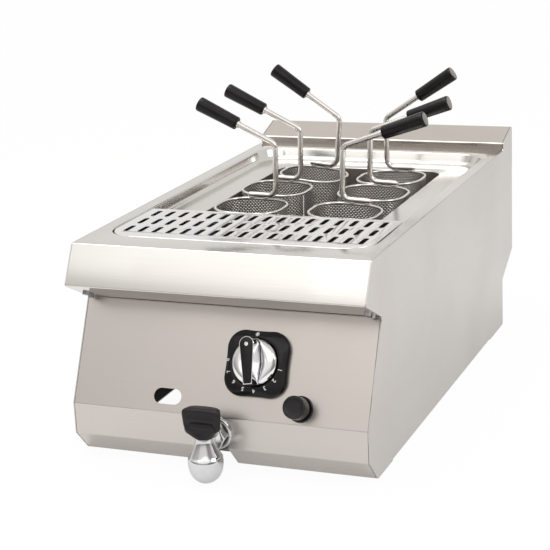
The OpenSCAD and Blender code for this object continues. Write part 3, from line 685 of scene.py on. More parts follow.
@dataclass(frozen=True)
class Finish:
    """A surface with patches, streaks and a fine skin, read in the object's own coordinates.

    Fields: its two tints, roughness range, metal share, streak stretch per metre, patch scale, skin scale,
    bump strength, clear coat, specular level and the box of painted shade in a well.
    """

    name: str
    tint: Colour
    patch_tint: Colour
    rough: tuple[float, float] = (0.25, 0.35)
    metal: float = 0.0
    stretch: Point | None = None
    patches: float = 9.0
    skin: float = 0.0
    bump: float = 0.05
    coat: float = 0.0
    specular: float = 0.5
    well: tuple[Point, Point] | None = None

    def material(self) -> bpy.types.Material:
        """Builds the finish's shader, once.

        Returns:
            The material.
        """
        found = bpy.data.materials.get(self.name)
        if found:
            return found
        material = bpy.data.materials.new(self.name)
        board = NodeBoard.cleared(material)
        spot = board.add("TexCoord").outputs["Object"]
        mask = height = board.group(Effect.blotch(), Vector=spot, Scale=self.patches)["Patch"]
        if self.stretch:
            height = board.group(Effect.grain(), Vector=spot, Stretch=self.stretch)["Streak"]
            mask = board.weighed(mask, PATCH_SHARE, height, STREAK_SHARE)
        if self.skin:
            height = board.group(Effect.pebble(), Vector=spot, Scale=self.skin)["Height"]
        colour, rough = board.blend(mask, self.tint, self.patch_tint), board.ranged(mask, *self.rough)
        # Painted shade: inside the well's box the colour goes near black and the roughness rises, standing in
        # for the shade under the tray.
        if self.well:
            centre, half = self.well
            inside = board.group(Effect.well(), Vector=spot, Centre=centre, Half=half)["Inside"]
            colour = board.blend(inside, colour, PAINTED_WELL_SHADE)
            rough = board.math("ADD", rough, board.math("MULTIPLY", inside, PAINTED_WELL_SHADE_ROUGHENS))
        bump = board.add("Bump", {"Strength": self.bump, "Distance": BUMP_DEPTH, "Height": height})
        shader = board.add(
            "BsdfPrincipled",
            {
                "Base Color": colour,
                "Roughness": rough,
                "Metallic": self.metal,
                "Coat Weight": self.coat,
                "Coat Roughness": COAT_ROUGHNESS,
                "Specular IOR Level": self.specular,
                "Normal": bump.outputs[0],
            },
        )
        board.add("OutputMaterial", {"Surface": shader.outputs[0]})
        return material


# Streaks per metre along x, y and z, for grain that is drawn across, along or upright.
ACROSS, ALONG, UPRIGHT = (14.0, 1500.0, 1500.0), (1500.0, 14.0, 1500.0), (1500.0, 1500.0, 14.0)


def metal(
    name: str, tint: Colour, patch_tint: Colour, rough: tuple[float, float], **more: object
) -> Finish:
    """Returns a metal finish, with further fields by name."""
    return Finish(name, tint, patch_tint, rough, metal=1.0, **more)


class Steel:
    """The cooker's metal finishes."""

    worktop = metal("satin_worktop", (0.66, 0.645, 0.62), (0.63, 0.613, 0.585), (0.13, 0.19),
                    stretch=ACROSS, patches=6.0, bump=0.02)
    # The worktop with painted shade on the drain well's floor under the tray.
    deck = replace(worktop, name="satin_worktop_with_well",
                   well=((0, -0.1854, 0.2575), (0.179, 0.0753, 0.0065)))
    lip = replace(worktop, name="satin_upstand", tint=(0.61, 0.565, 0.52), patch_tint=(0.575, 0.53, 0.485))
    side = metal("satin_side_sheet", (0.568, 0.541, 0.518), (0.545, 0.518, 0.494), (0.28, 0.36),
                 stretch=ALONG, patches=5.0, bump=0.02)
    panel = metal("satin_front_panel", (0.605, 0.569, 0.539), (0.59, 0.554, 0.524), (0.27, 0.32),
                  stretch=ACROSS, patches=5.0, bump=0.006)
    tray = metal("bright_tray_sheet", (0.82, 0.815, 0.80), (0.785, 0.775, 0.76), (0.16, 0.22),
                 stretch=ACROSS, patches=6.0, bump=0.02)
    tank = metal("tank_sheet", (0.56, 0.53, 0.50), (0.43, 0.40, 0.37), (0.28, 0.42),
                 stretch=UPRIGHT, patches=14.0)
    inner = metal("plain_inner_sheet", (0.50, 0.49, 0.48), (0.40, 0.39, 0.38), (0.35, 0.5),
                  stretch=ALONG, patches=12.0)
    wire = metal("bright_drawn_wire", (0.74, 0.71, 0.68), (0.68, 0.65, 0.62), (0.14, 0.2),
                 patches=25.0, bump=0)
    # Painted light and shade: both are the same woven steel. The hoops are a lit copy, painted pale, and the
    # upright strands with the floor are a shaded copy, painted near black.
    hoop = metal("woven_wire", (0.97, 0.92, 0.88), (0.90, 0.85, 0.81), (0.28, 0.4), patches=30.0, bump=0)
    upright = metal("woven_wire_painted_shade", (0.17, 0.155, 0.145), (0.13, 0.118, 0.11), (0.3, 0.42),
                    patches=30.0, bump=0)
    chrome = metal("polished_chrome", (0.86, 0.86, 0.87), (0.82, 0.82, 0.835), (0.03, 0.07),
                   patches=30.0, bump=0)
    nickel = metal("polished_nickel", (0.70, 0.70, 0.71), (0.65, 0.65, 0.66), (0.03, 0.07),
                   patches=30.0, bump=0)
    plating = metal("satin_plating", (0.60, 0.60, 0.61), (0.54, 0.54, 0.55), (0.2, 0.28),
                    patches=30.0, bump=0)
    screw = metal("zinc_screw", (0.42, 0.42, 0.43), (0.30, 0.30, 0.31), (0.16, 0.3), patches=150.0)
    brass = metal("turned_brass", (0.72, 0.52, 0.24), (0.58, 0.40, 0.17), (0.2, 0.34), patches=70.0)
    pipe = metal("drawn_pipe", (0.56, 0.56, 0.56), (0.46, 0.45, 0.45), (0.25, 0.4),
                 stretch=ALONG, patches=20.0)
    cast = metal("cast_aluminium", (0.55, 0.55, 0.56), (0.45, 0.45, 0.46), (0.4, 0.55),
                 patches=25.0, skin=900.0, bump=0.3)
    iron = Finish("burner_iron", (0.12, 0.115, 0.11), (0.075, 0.06, 0.05), (0.5, 0.7),
                  metal=0.8, patches=30.0, skin=700.0, bump=0.3)


class Plain:
    """The cooker's black, white and rubber finishes."""

    knob = Finish("gloss_black_knob", (0.006, 0.005, 0.006), (0.009, 0.008, 0.009), (0.12, 0.19),
                  patches=60, bump=0, coat=0.06, specular=0.24)
    button = Finish("black_button", (0.008, 0.006, 0.007), (0.012, 0.010, 0.011), (0.24, 0.34),
                    patches=60, bump=0, specular=0.33)
    lever = Finish("satin_black_lever", (0.008, 0.006, 0.007), (0.013, 0.010, 0.012), (0.36, 0.48),
                   patches=50, skin=2200, bump=0.04, specular=0.3)
    grip = Finish("black_grip", (0.006, 0.005, 0.005), (0.010, 0.008, 0.009), (0.17, 0.25),
                  patches=45, bump=0, specular=0.22)
    grip_end = Finish("grip_end_disc", (0.17, 0.155, 0.145), (0.23, 0.21, 0.195), (0.35, 0.5),
                      patches=70, skin=1500, bump=0.1)
    ink = Finish("white_print", (0.85, 0.85, 0.84), (0.74, 0.74, 0.73), (0.45, 0.6), patches=300, bump=0.02)
    rubber = Finish("foot_rubber", (0.03, 0.03, 0.03), (0.05, 0.05, 0.05), (0.7, 0.85),
                    patches=40, skin=1500, bump=0.3)
    ceramic = Finish("white_ceramic", (0.80, 0.78, 0.74), (0.70, 0.68, 0.63), (0.15, 0.3),
                     patches=90, bump=0.03)


def hand_over(
    piece: Workpiece,
    finish: Finish,
    body: str,
    nodes: Iterable[str] = (),
    matrix: Matrix | None = None,
    crease: float = 32.0,
) -> None:
    """Gives a modelled piece its place, finish and body.

    Args:
        piece: The workpiece, in millimetres.
        finish: Its surface.
        body: The body that it rides on.
        nodes: The solids that it stands for.
        matrix: From the piece's own frame to the part's frame; the drawing's frame if it isn't given.
        crease: Angle in degrees above which an edge stays sharp.
    """
    piece.place(matrix or drawing_frame())
    obj = piece.obj
    bpy.ops.object.select_all(action="DESELECT")
    obj.select_set(True)
    bpy.context.view_layer.objects.active = obj
    bpy.ops.object.shade_smooth_by_angle(angle=math.radians(crease))
    obj.data.materials.clear()
    obj.data.materials.append(finish.material())
    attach(obj, body)
    if nodes:
        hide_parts(*nodes)
    log.info("%s: %d faces on %s", obj.name, len(obj.data.polygons), body)


# Sub-assemblies


@dataclass
class Worktop:
    """Folded worktop sheet with its pressed recess and the hole for the tank."""

    half: float = 198.4
    top: float = 277.0
    back: float = 699.0
    corner: float = 0.05
    sheet: float = 1.5
    bend: float = 3.0
    bend_steps: int = 6
    fold: float = 1.8
    fold_steps: int = 8
    fascia: tuple[float, float] = (-27.0, 228.0)
    under_end: tuple[float, float] = (31.9, 198.05)
    recess: Plan = Plan(362, 47.5, 613, 39)
    tank: Plan = Plan(256, 215, 561, 25)
    floor: float = 260.0
    rim_round: float = 2.2
    foot_round: float = 6.0
    edge_round: float = 1.2
    steps: int = 10
    # The recess's floor is this much narrower and shorter than its rim, behind slant_from.
    slant: tuple[float, float] = (0.0276, 0.0155)
    slant_from: float = 500.0
    slant_middle: float = 205.0

    def build(self) -> None:
        """Models the sheet and hands it over."""
        piece = Workpiece("worktop_sheet")
        lean = Vector((0, self.fascia[0], self.fascia[1] - self.top))
        under = Vector((0, self.under_end[0] - self.fascia[0], self.under_end[1] - self.fascia[1]))
        first, second = math.degrees((-Y_AXIS).angle(lean)), math.degrees(lean.angle(under))
        set_first = self.bend * math.tan(math.radians(first) / 2)
        set_second = self.fold * math.tan(math.radians(second) / 2)
        piece.plan(Plan(2 * self.half, set_first, self.back, self.corner), self.top, self.steps)
        piece.drop_face()
        self.press(piece)
        piece.bridge_at(self.top)
        piece.bridge_at(self.floor)
        piece.outward()
        if next(f.normal.z for f in piece.mesh().faces if abs(f.normal.z) > 0.9) < 0:
            bpy.ops.mesh.flip_normals()
        piece.select(
            Pick.EDGE, lambda e: e.is_boundary and all(abs(v.co.y - set_first) < NEAR for v in e.verts)
        )
        piece.spin((0, set_first, self.top - self.bend), X_AXIS, first, self.bend_steps)
        piece.extrude(lean.normalized() * (lean.length - set_first - set_second))
        start = Vector((0, 0, self.top)) + lean.normalized() * (lean.length - set_second)
        inward = X_AXIS.cross(lean.normalized())
        piece.spin(tuple(start + inward * self.fold), X_AXIS, second, self.fold_steps)
        piece.extrude(under.normalized() * (under.length - set_second))
        piece.modify("SOLIDIFY", thickness=self.sheet, offset=-1.0, use_even_offset=True)
        hand_over(piece, Steel.deck, "cabinet", ["worktop"])

    def press(self, piece: Workpiece) -> None:
        """Presses the recess into the sheet and opens the hole for the tank.

        Args:
            piece: The sheet, in edit mode.
        """
        piece.plan(self.recess.grown(self.rim_round), self.top, self.steps)
        piece.fillet(self.rim_round, steps=5, flat_first=True, rise=-1)
        piece.extrude((0, 0, self.floor - self.top + self.rim_round + self.foot_round))
        piece.fillet(self.foot_round, steps=6, flat_first=False, rise=-1)
        piece.drop_face()
        self.draw_in(piece)
        piece.plan(self.tank.grown(self.edge_round), self.floor, self.steps)
        piece.fillet(self.edge_round, steps=3, flat_first=True, rise=-1)
        piece.drop_face()

    def draw_in(self, piece: Workpiece) -> None:
        """Slants the recess's back and the back of its sides, further in with depth.

        Args:
            piece: The sheet with its recess, in edit mode.
        """
        levels = sorted({round(v.co.z, 3) for v in piece.mesh().verts if v.co.z < self.top - 0.1})
        for z in levels:
            deep = (self.top - z) / (self.top - self.floor)
            piece.select(Pick.VERT, lambda v: abs(v.co.z - z) < 0.002 and v.co.y > self.slant_from)
            scale = (1 - self.slant[0] * deep, 1 - self.slant[1] * deep, 1)
            bpy.ops.transform.resize(value=scale, center_override=(0, self.slant_middle, z))


@dataclass
class DrainTray:
    """Loose tray with three rows of drain slots and turned-down edges."""

    plan: Plan = Plan(357, 48.3, 194.5, 37.5)
    top: float = 276.5
    low: float = 260.3
    sheet: float = 1.5
    edge_round: float = 1.2
    slots_y: float = 127.5
    back_round: float = 3.0
    slot: tuple[float, float] = (7.0, 29.0)
    pitch: tuple[float, float] = (20.1, 41.0)
    count: tuple[int, int] = (17, 3)
    cut_depth: float = 4.0

    def build(self) -> None:
        """Models the tray and hands it over."""
        piece = Workpiece("slotted_tray")
        middle = (self.plan.front + self.plan.back) / 2
        skirt = self.top - self.edge_round
        piece.plate(self.plan.width, self.plan.back - self.plan.front, (0, middle, skirt))
        piece.select(Pick.VERT, lambda v: v.co.y < middle)
        bpy.ops.mesh.bevel(offset=self.plan.radius, segments=14, affect="VERTICES")
        piece.select(Pick.VERT, lambda v: v.co.y > self.plan.back - NEAR)
        bpy.ops.mesh.bevel(offset=self.back_round, segments=4, affect="VERTICES")
        piece.select(Pick.FACE, lambda f: True)
        piece.fillet(self.edge_round, steps=5, flat_first=False, rise=1)
        piece.select(Pick.EDGE, lambda e: e.is_boundary)
        piece.extrude((0, 0, self.low - skirt))
        piece.outward()
        if max(piece.mesh().faces, key=lambda f: f.calc_area()).normal.z < 0:
            bpy.ops.mesh.flip_normals()
        piece.modify("SOLIDIFY", thickness=self.sheet, offset=-1.0, use_even_offset=True)
        piece.cut(self.slots())
        piece.modify("BEVEL", width=0.4, segments=2, limit_method="ANGLE", angle_limit=math.radians(50))
        hand_over(piece, Steel.tray, "drain_tray", ["drain_tray"])

    def slots(self) -> Workpiece:
        """Makes the cutter for all slots: one round-ended slot, repeated.

        Returns:
            The workpiece.
        """
        tool = Workpiece("slot_cutter")
        wide, long = self.slot
        across, deep = ((n - 1) / 2 * pitch for n, pitch in zip(self.count, self.pitch))
        tool.plate(wide, long, (-across, self.slots_y - deep, self.top - self.cut_depth))
        bpy.ops.mesh.bevel(offset=wide / 2 - NEAR, segments=7, affect="VERTICES")
        tool.extrude((0, 0, 2 * self.cut_depth))
        tool.outward()
        for axis in (0, 1):
            step = [0.0, 0.0, 0.0]
            step[axis] = self.pitch[axis]
            tool.modify("ARRAY", count=self.count[axis], use_relative_offset=False, use_constant_offset=True,
                        constant_offset_displace=step)
        return tool


class Row(Enum):
    """Row of a basket, from the front."""

    FRONT = "front"
    MIDDLE = "middle"
    BACK = "back"


class Side(Enum):
    """Column of a basket, with its outward direction."""

    LEFT = -1
    RIGHT = 1


@dataclass
class Basket:
    """One lift-out basket: woven cup, rim, handle and grip."""

    row: Row
    side: Side
    size: tuple[float, float] = (96.0, 90.0)
    corner: float = 36.0
    low: float = 115.3
    rim_z: float = 263.0
    rim_wire: float = 4.0
    pitch: float = 2.45
    strand: float = 0.92
    wave: float = 0.72
    wall_inset: float = 0.7
    hem: float = 1.0
    seam_size: tuple[float, float] = (2.2, 1.8)
    seam_turn: float = 12.0
    handle_wire: float = 8.0
    weld_sink: float = 0.4
    foot: float = 40.0
    inset: float = 20.0
    rise: float = 75.0
    reach: float = 126.0
    bend: float = 12.0
    bend_steps: int = 10
    # Collar on the arm: how much thicker than the wire, where it starts before the grip, and its length.
    collar: tuple[float, float, float] = (1.2, 3.0, 4.0)
    grip_length: float = 64.0
    grip_radii: tuple[float, float] = (9.25, 10.75)
    # Lean of each basket to the right and rise of its arm, in degrees.
    stances: dict[tuple[Row, Side], tuple[float, float]] = field(default_factory=lambda: {
        (Row.FRONT, Side.LEFT): (1.2, 24.5), (Row.FRONT, Side.RIGHT): (2.4, 21.5),
        (Row.MIDDLE, Side.LEFT): (1.6, 24.5), (Row.MIDDLE, Side.RIGHT): (2.0, 22.0),
        (Row.BACK, Side.LEFT): (5.5, 29.5), (Row.BACK, Side.RIGHT): (-0.5, 33.0),
    })

    @property
    def name(self) -> str:
        """Name of the basket's body and the start of its nodes' names."""
        return f"basket_{self.row.value}_{self.side.name.lower()}"

    @property
    def out(self) -> int:
        """Direction of the handle along x."""
        return self.side.value

    @property
    def lean(self) -> float:
        """Angle in radians by which the whole basket stands askew, to the right."""
        return math.radians(self.stances[self.row, self.side][0])

    @property
    def tilt(self) -> float:
        """Angle in degrees by which the arm rises."""
        return self.stances[self.row, self.side][1]

    @property
    def cup_low(self) -> float:
        """Height of the cup's underside before it is set askew, clear of the false bottom."""
        return self.low + self.size[0] / 2 * math.sin(abs(self.lean))

    @property
    def foot_z(self) -> float:
        """Height of the middle of the handle's foot."""
        return self.rim_z + self.rim_wire / 2 + self.handle_wire / 2 - self.weld_sink

    def frame(self) -> Matrix:
        """Finds the basket's place from its solid, and sets it askew about the middle of its rim.

        Returns:
            The matrix from the basket's own plan to the part's frame.
        """
        low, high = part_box(f"{self.name}_mesh")
        spot = Matrix.Translation(((low.x + high.x) / 2, (low.y + high.y) / 2, 0)) @ Matrix.Scale(MM, 4)
        askew = Matrix.Rotation(self.lean, 4, "Y")
        return spot @ Matrix.Translation((0, 0, self.rim_z)) @ askew @ Matrix.Translation((0, 0, -self.rim_z))

    def build(self) -> None:
        """Models the basket's pieces and hands them over."""
        place = self.frame()
        hoops, uprights = self.cup()
        name = self.name
        # The hoops get the lit copy and the uprights the shaded copy of the wire: painted light and shade.
        hand_over(hoops, Steel.hoop, name, [f"{name}_mesh"], place, crease=180)
        hand_over(uprights, Steel.upright, name, [], place, crease=180)
        hand_over(self.wires(), Steel.wire, name, [f"{name}_frame"], place, crease=60)
        hand_over(self.grip(), Plain.grip, name, [f"{name}_grip"], place, crease=40)
        hand_over(self.grip_end(), Plain.grip_end, name, [], place, crease=40)

    def outline(self, count: int, inset: float) -> tuple[np.ndarray, np.ndarray]:
        """Places points evenly round the basket's rounded outline.

        Args:
            count: Number of points.
            inset: Distance inside the outer outline.

        Returns:
            The points and their outward directions, in plan.
        """
        radius = self.corner - inset
        sides = [self.size[0] - 2 * self.corner, self.size[1] - 2 * self.corner]
        quarter = math.pi * radius / 2
        along = np.arange(count) * (2 * sum(sides) + 4 * quarter) / count
        points, normals = np.zeros((count, 2)), np.zeros((count, 2))
        runs = [sides[1], quarter, sides[0], quarter] * 2
        angle, corner_at = 0.0, np.array([sides[0] / 2, -sides[1] / 2])
        for k, run in enumerate(runs):
            inside = (along >= -1e-9) & (along < run - 1e-9)
            if k % 2:
                turn = angle + along[inside] / radius
                angle += math.pi / 2
            else:
                turn = np.full(inside.sum(), angle)
            out = np.stack([np.cos(turn), np.sin(turn)], axis=1)
            ahead = np.array([-math.sin(angle), math.cos(angle)])
            walked = np.outer(along[inside], ahead) if k % 2 == 0 else 0
            points[inside], normals[inside] = corner_at + radius * out + walked, out
            if k % 2 == 0:
                corner_at = corner_at + ahead * run
            along = along - run
            along[inside] = 1e9
        return points, normals

    def cup(self) -> tuple[Workpiece, Workpiece]:
        """Weaves the wall and the floor from crossing strands.

        Returns:
            The hoops with the seam strip, and the upright strands with the floor.
        """
        length = 2 * (sum(self.size) - 4 * self.corner) + 2 * math.pi * self.corner
        around = 2 * round(length / self.pitch / 2)
        top = self.rim_z - self.hem
        rows = round((top - self.cup_low - self.hem) / self.pitch)
        heights = np.linspace(self.cup_low + self.hem, top, rows)
        flat, normal = self.outline(around, self.wall_inset)
        wave = self.wave * (-1.0) ** (np.arange(around)[:, None] + np.arange(rows)[None, :])
        middle = np.concatenate([np.repeat(flat[:, None, :], rows, 1),
                                 np.repeat(heights[None, :, None], around, 0)], axis=2)
        out = np.concatenate([normal, np.zeros((around, 1))], axis=1)[:, None, :]
        side = np.stack([-normal[:, 1], normal[:, 0], np.zeros(around)], axis=1)[:, None, :]
        up = np.array([0.0, 0.0, 1.0])
        uprights, hoops = Strands(self.strand), Strands(self.strand)
        uprights.add(middle + wave[..., None] * out, out, side, False)
        hoops.add(np.swapaxes(middle - wave[..., None] * out, 0, 1), np.swapaxes(out, 0, 1), up, True)
        self.floor(uprights)
        woven = Workpiece.from_arrays(f"{self.name}_weave", *hoops.arrays())
        woven.join(self.seam(flat, normal))
        return woven, Workpiece.from_arrays(f"{self.name}_weave_uprights", *uprights.arrays())

    def floor(self, stack: "Strands") -> None:
        """Weaves the flat floor, cut to the basket's outline.

        Args:
            stack: The strands that the floor is added to.
        """
        half = np.array(self.size) / 2 - self.wall_inset
        up, z = np.array([0.0, 0.0, 1.0]), self.cup_low + self.hem
        for axis in (0, 1):
            lines = np.arange(-half[1 - axis] + self.pitch, half[1 - axis], self.pitch)
            for k, across in enumerate(lines):
                over = max(0.0, abs(across) - (half[1 - axis] - self.corner))
                reach = half[axis] - self.corner + math.sqrt(max(0.0, self.corner**2 - over**2))
                count = int(reach // self.pitch)
                steps = np.arange(-count, count + 1)
                line = np.zeros((1, len(steps), 3))
                line[0, :, axis], line[0, :, 1 - axis] = steps * self.pitch, across
                line[0, :, 2] = z + self.wave * (-1.0) ** (steps + k + axis)
                across_way = np.zeros(3)
                across_way[1 - axis] = 1
                stack.add(line, up, across_way, False)

    def seam(self, flat: np.ndarray, normal: np.ndarray) -> Workpiece:
        """Makes the strip that closes the wall, on the inner front corner.

        Args:
            flat: Points of the wall's outline, in plan.
            normal: Outward direction at each of them.

        Returns:
            The workpiece.
        """
        angle = math.radians(-self.seam_turn if self.side is Side.LEFT else self.seam_turn - 180)
        k = int(np.argmax(normal @ np.array([math.cos(angle), math.sin(angle)])))
        piece = Workpiece("seam_strip")
        piece.plate(*self.seam_size)
        bpy.ops.mesh.bevel(offset=0.6, segments=3, affect="VERTICES")
        piece.extrude((0, 0, self.rim_z - self.cup_low - 3 * self.hem))
        piece.outward()
        turn = Matrix.Rotation(math.atan2(normal[k, 1], normal[k, 0]) - math.pi / 2, 4, "Z")
        piece.place(Matrix.Translation((flat[k, 0], flat[k, 1], self.cup_low + self.hem)) @ turn)
        return piece

    def wires(self) -> Workpiece:
        """Bends the rim and the handle, and welds them together.

        Returns:
            The workpiece, with the collar where the grip begins.
        """
        piece = Workpiece(f"{self.name}_wires")
        long, deep = self.size[0] - 2 * self.corner, self.size[1] - 2 * self.corner
        rim_start = (self.size[0] / 2, -deep / 2, self.rim_z)
        rim = WireRun(piece, self.rim_wire / 2, rim_start, Y_AXIS, sides=12, capped=False)
        for run in (deep, long, deep, long):
            rim.straight(run).bend(90, self.corner, Z_AXIS, self.bend_steps)
        bpy.ops.mesh.select_all(action="SELECT")
        bpy.ops.mesh.remove_doubles(threshold=NEAR)
        back = self.size[1] / 2
        start = (self.out * (self.foot - self.inset), back, self.foot_z)
        turn = 90 - self.tilt
        setback = self.bend * math.tan(math.radians(turn) / 2)
        handle = WireRun(piece, self.handle_wire / 2, start, -self.out * X_AXIS, sides=16)
        handle.straight(self.foot - self.bend)
        handle.bend(90 * self.out, self.bend, Y_AXIS, self.bend_steps)
        handle.straight(self.rise - self.bend - setback)
        handle.bend(turn * self.out, self.bend, Y_AXIS, self.bend_steps)
        handle.straight(self.reach - setback - self.handle_wire)
        self.welds(piece, back)
        heading, spot = self.arm()
        thicker, before, length = self.collar
        collar = WireRun(piece, self.handle_wire / 2 + thicker, spot - heading * before, heading, sides=20)
        collar.straight(length)
        piece.outward()
        return piece

    def arm(self) -> tuple[Vector, Vector]:
        """Follows the arm to where the grip begins.

        Returns:
            The arm's heading and that point.
        """
        tilt = math.radians(self.tilt)
        heading = Vector((self.out * math.cos(tilt), 0, math.sin(tilt)))
        corner = Vector((-self.out * self.inset, self.size[1] / 2, self.foot_z + self.rise))
        return heading, corner + heading * (self.reach - self.grip_length)

    def on_arm(self, piece: Workpiece) -> Workpiece:
        """Moves a piece that was turned on the z axis to the grip's place.

        Args:
            piece: The piece, with its foot at z = 0.

        Returns:
            The same piece.
        """
        heading, spot = self.arm()
        piece.place(Matrix.Translation(spot) @ heading.to_track_quat("Z", "Y").to_matrix().to_4x4())
        return piece

    def welds(self, piece: Workpiece, back: float) -> None:
        """Adds the weld beads of the handle's foot and of the rim's joint.

        Args:
            piece: The wires, in edit mode.
            back: Where the handle's foot lies, along y.
        """
        seat = self.rim_z + self.rim_wire / 2
        for x, long in ((self.foot - self.inset - 3, 6.5), (-self.inset + self.bend + 3, 5.5)):
            piece.bead((self.out * x, back - 0.6, seat), (long, 2.7, 1.9))
        tip = self.foot - self.inset
        piece.bead((self.out * tip, back, self.foot_z - 0.4), (3.4, 3.1, 3.2))
        piece.bead((-self.out * self.size[0] / 2, 9, self.rim_z), (2.5, 4.2, 2.5))

    def grip(self) -> Workpiece:
        """Turns the moulded grip on the end of the arm.

        Returns:
            The workpiece.
        """
        piece = Workpiece(f"{self.name}_grip_sleeve")
        length, (inner, outer) = self.grip_length, self.grip_radii
        slim, wide = inner + 0.05, outer - 0.1
        piece.turned(
            [(self.handle_wire / 2 + 0.1, 1.5), (6.4, 0.2), (slim - 1.6, 0), (slim - 0.6, 0.4), (slim, 1.4),
             (slim + 0.1, 4), (slim + 0.35, 18), (slim + 0.75, 36), (wide - 0.12, length - 8),
             (wide, length - 3), (wide - 0.15, length - 1.6), (wide - 0.6, length - 0.6),
             (wide - 1.3, length - 0.2), (wide - 1.7, length - 0.5), (1.0, length - 0.5)],
            36,
        )
        return self.on_arm(piece)

    def grip_end(self) -> Workpiece:
        """Turns the paler disc that closes the grip's outer end.

        Returns:
            The workpiece.
        """
        piece = Workpiece(f"{self.name}_grip_end")
        length, radius = self.grip_length, self.grip_radii[1] - 1.9
        piece.turned([
            (radius, length - 1.5), (radius, length - 0.35), (radius - 0.4, length - 0.05), (1.0, length),
        ], 36)
        return self.on_arm(piece)


class Strands:
    """Collects four-sided wire strands as arrays of points and faces."""

    def __init__(self, radius: float) -> None:
        """Starts with no strand.

        Args:
            radius: Radius of every strand.
        """
        self.radius = radius
        self.points: list[np.ndarray] = []
        self.faces: list[np.ndarray] = []
        self.total = 0

    def add(self, lines: np.ndarray, out: np.ndarray, side: np.ndarray, closed: bool) -> None:
        """Adds strands that follow lines of points.

        Args:
            lines: Strands by points by three.
            out: Direction out of the weave at each point.
            side: Direction across the strand at each point.
            closed: True if each strand is a hoop.
        """
        count, length, _ = lines.shape
        across = (out, side, -1 * out, -1 * side)
        ways = np.stack([np.broadcast_to(way, lines.shape) for way in across], axis=2)
        tube = lines[:, :, None, :] + self.radius * ways
        index = self.total + np.arange(count * length * 4).reshape(count, length, 4)
        ahead = np.roll(index, -1, axis=1) if closed else index[:, 1:]
        here = index if closed else index[:, :-1]
        faces = np.stack([here, np.roll(here, -1, axis=2), np.roll(ahead, -1, axis=2), ahead], axis=-1)
        self.points.append(tube.reshape(-1, 3))
        self.faces.append(faces.reshape(-1, 4))
        self.total += count * length * 4

    def arrays(self) -> tuple[np.ndarray, np.ndarray]:
        """Returns all points and all faces."""
        return np.concatenate(self.points), np.concatenate(self.faces)


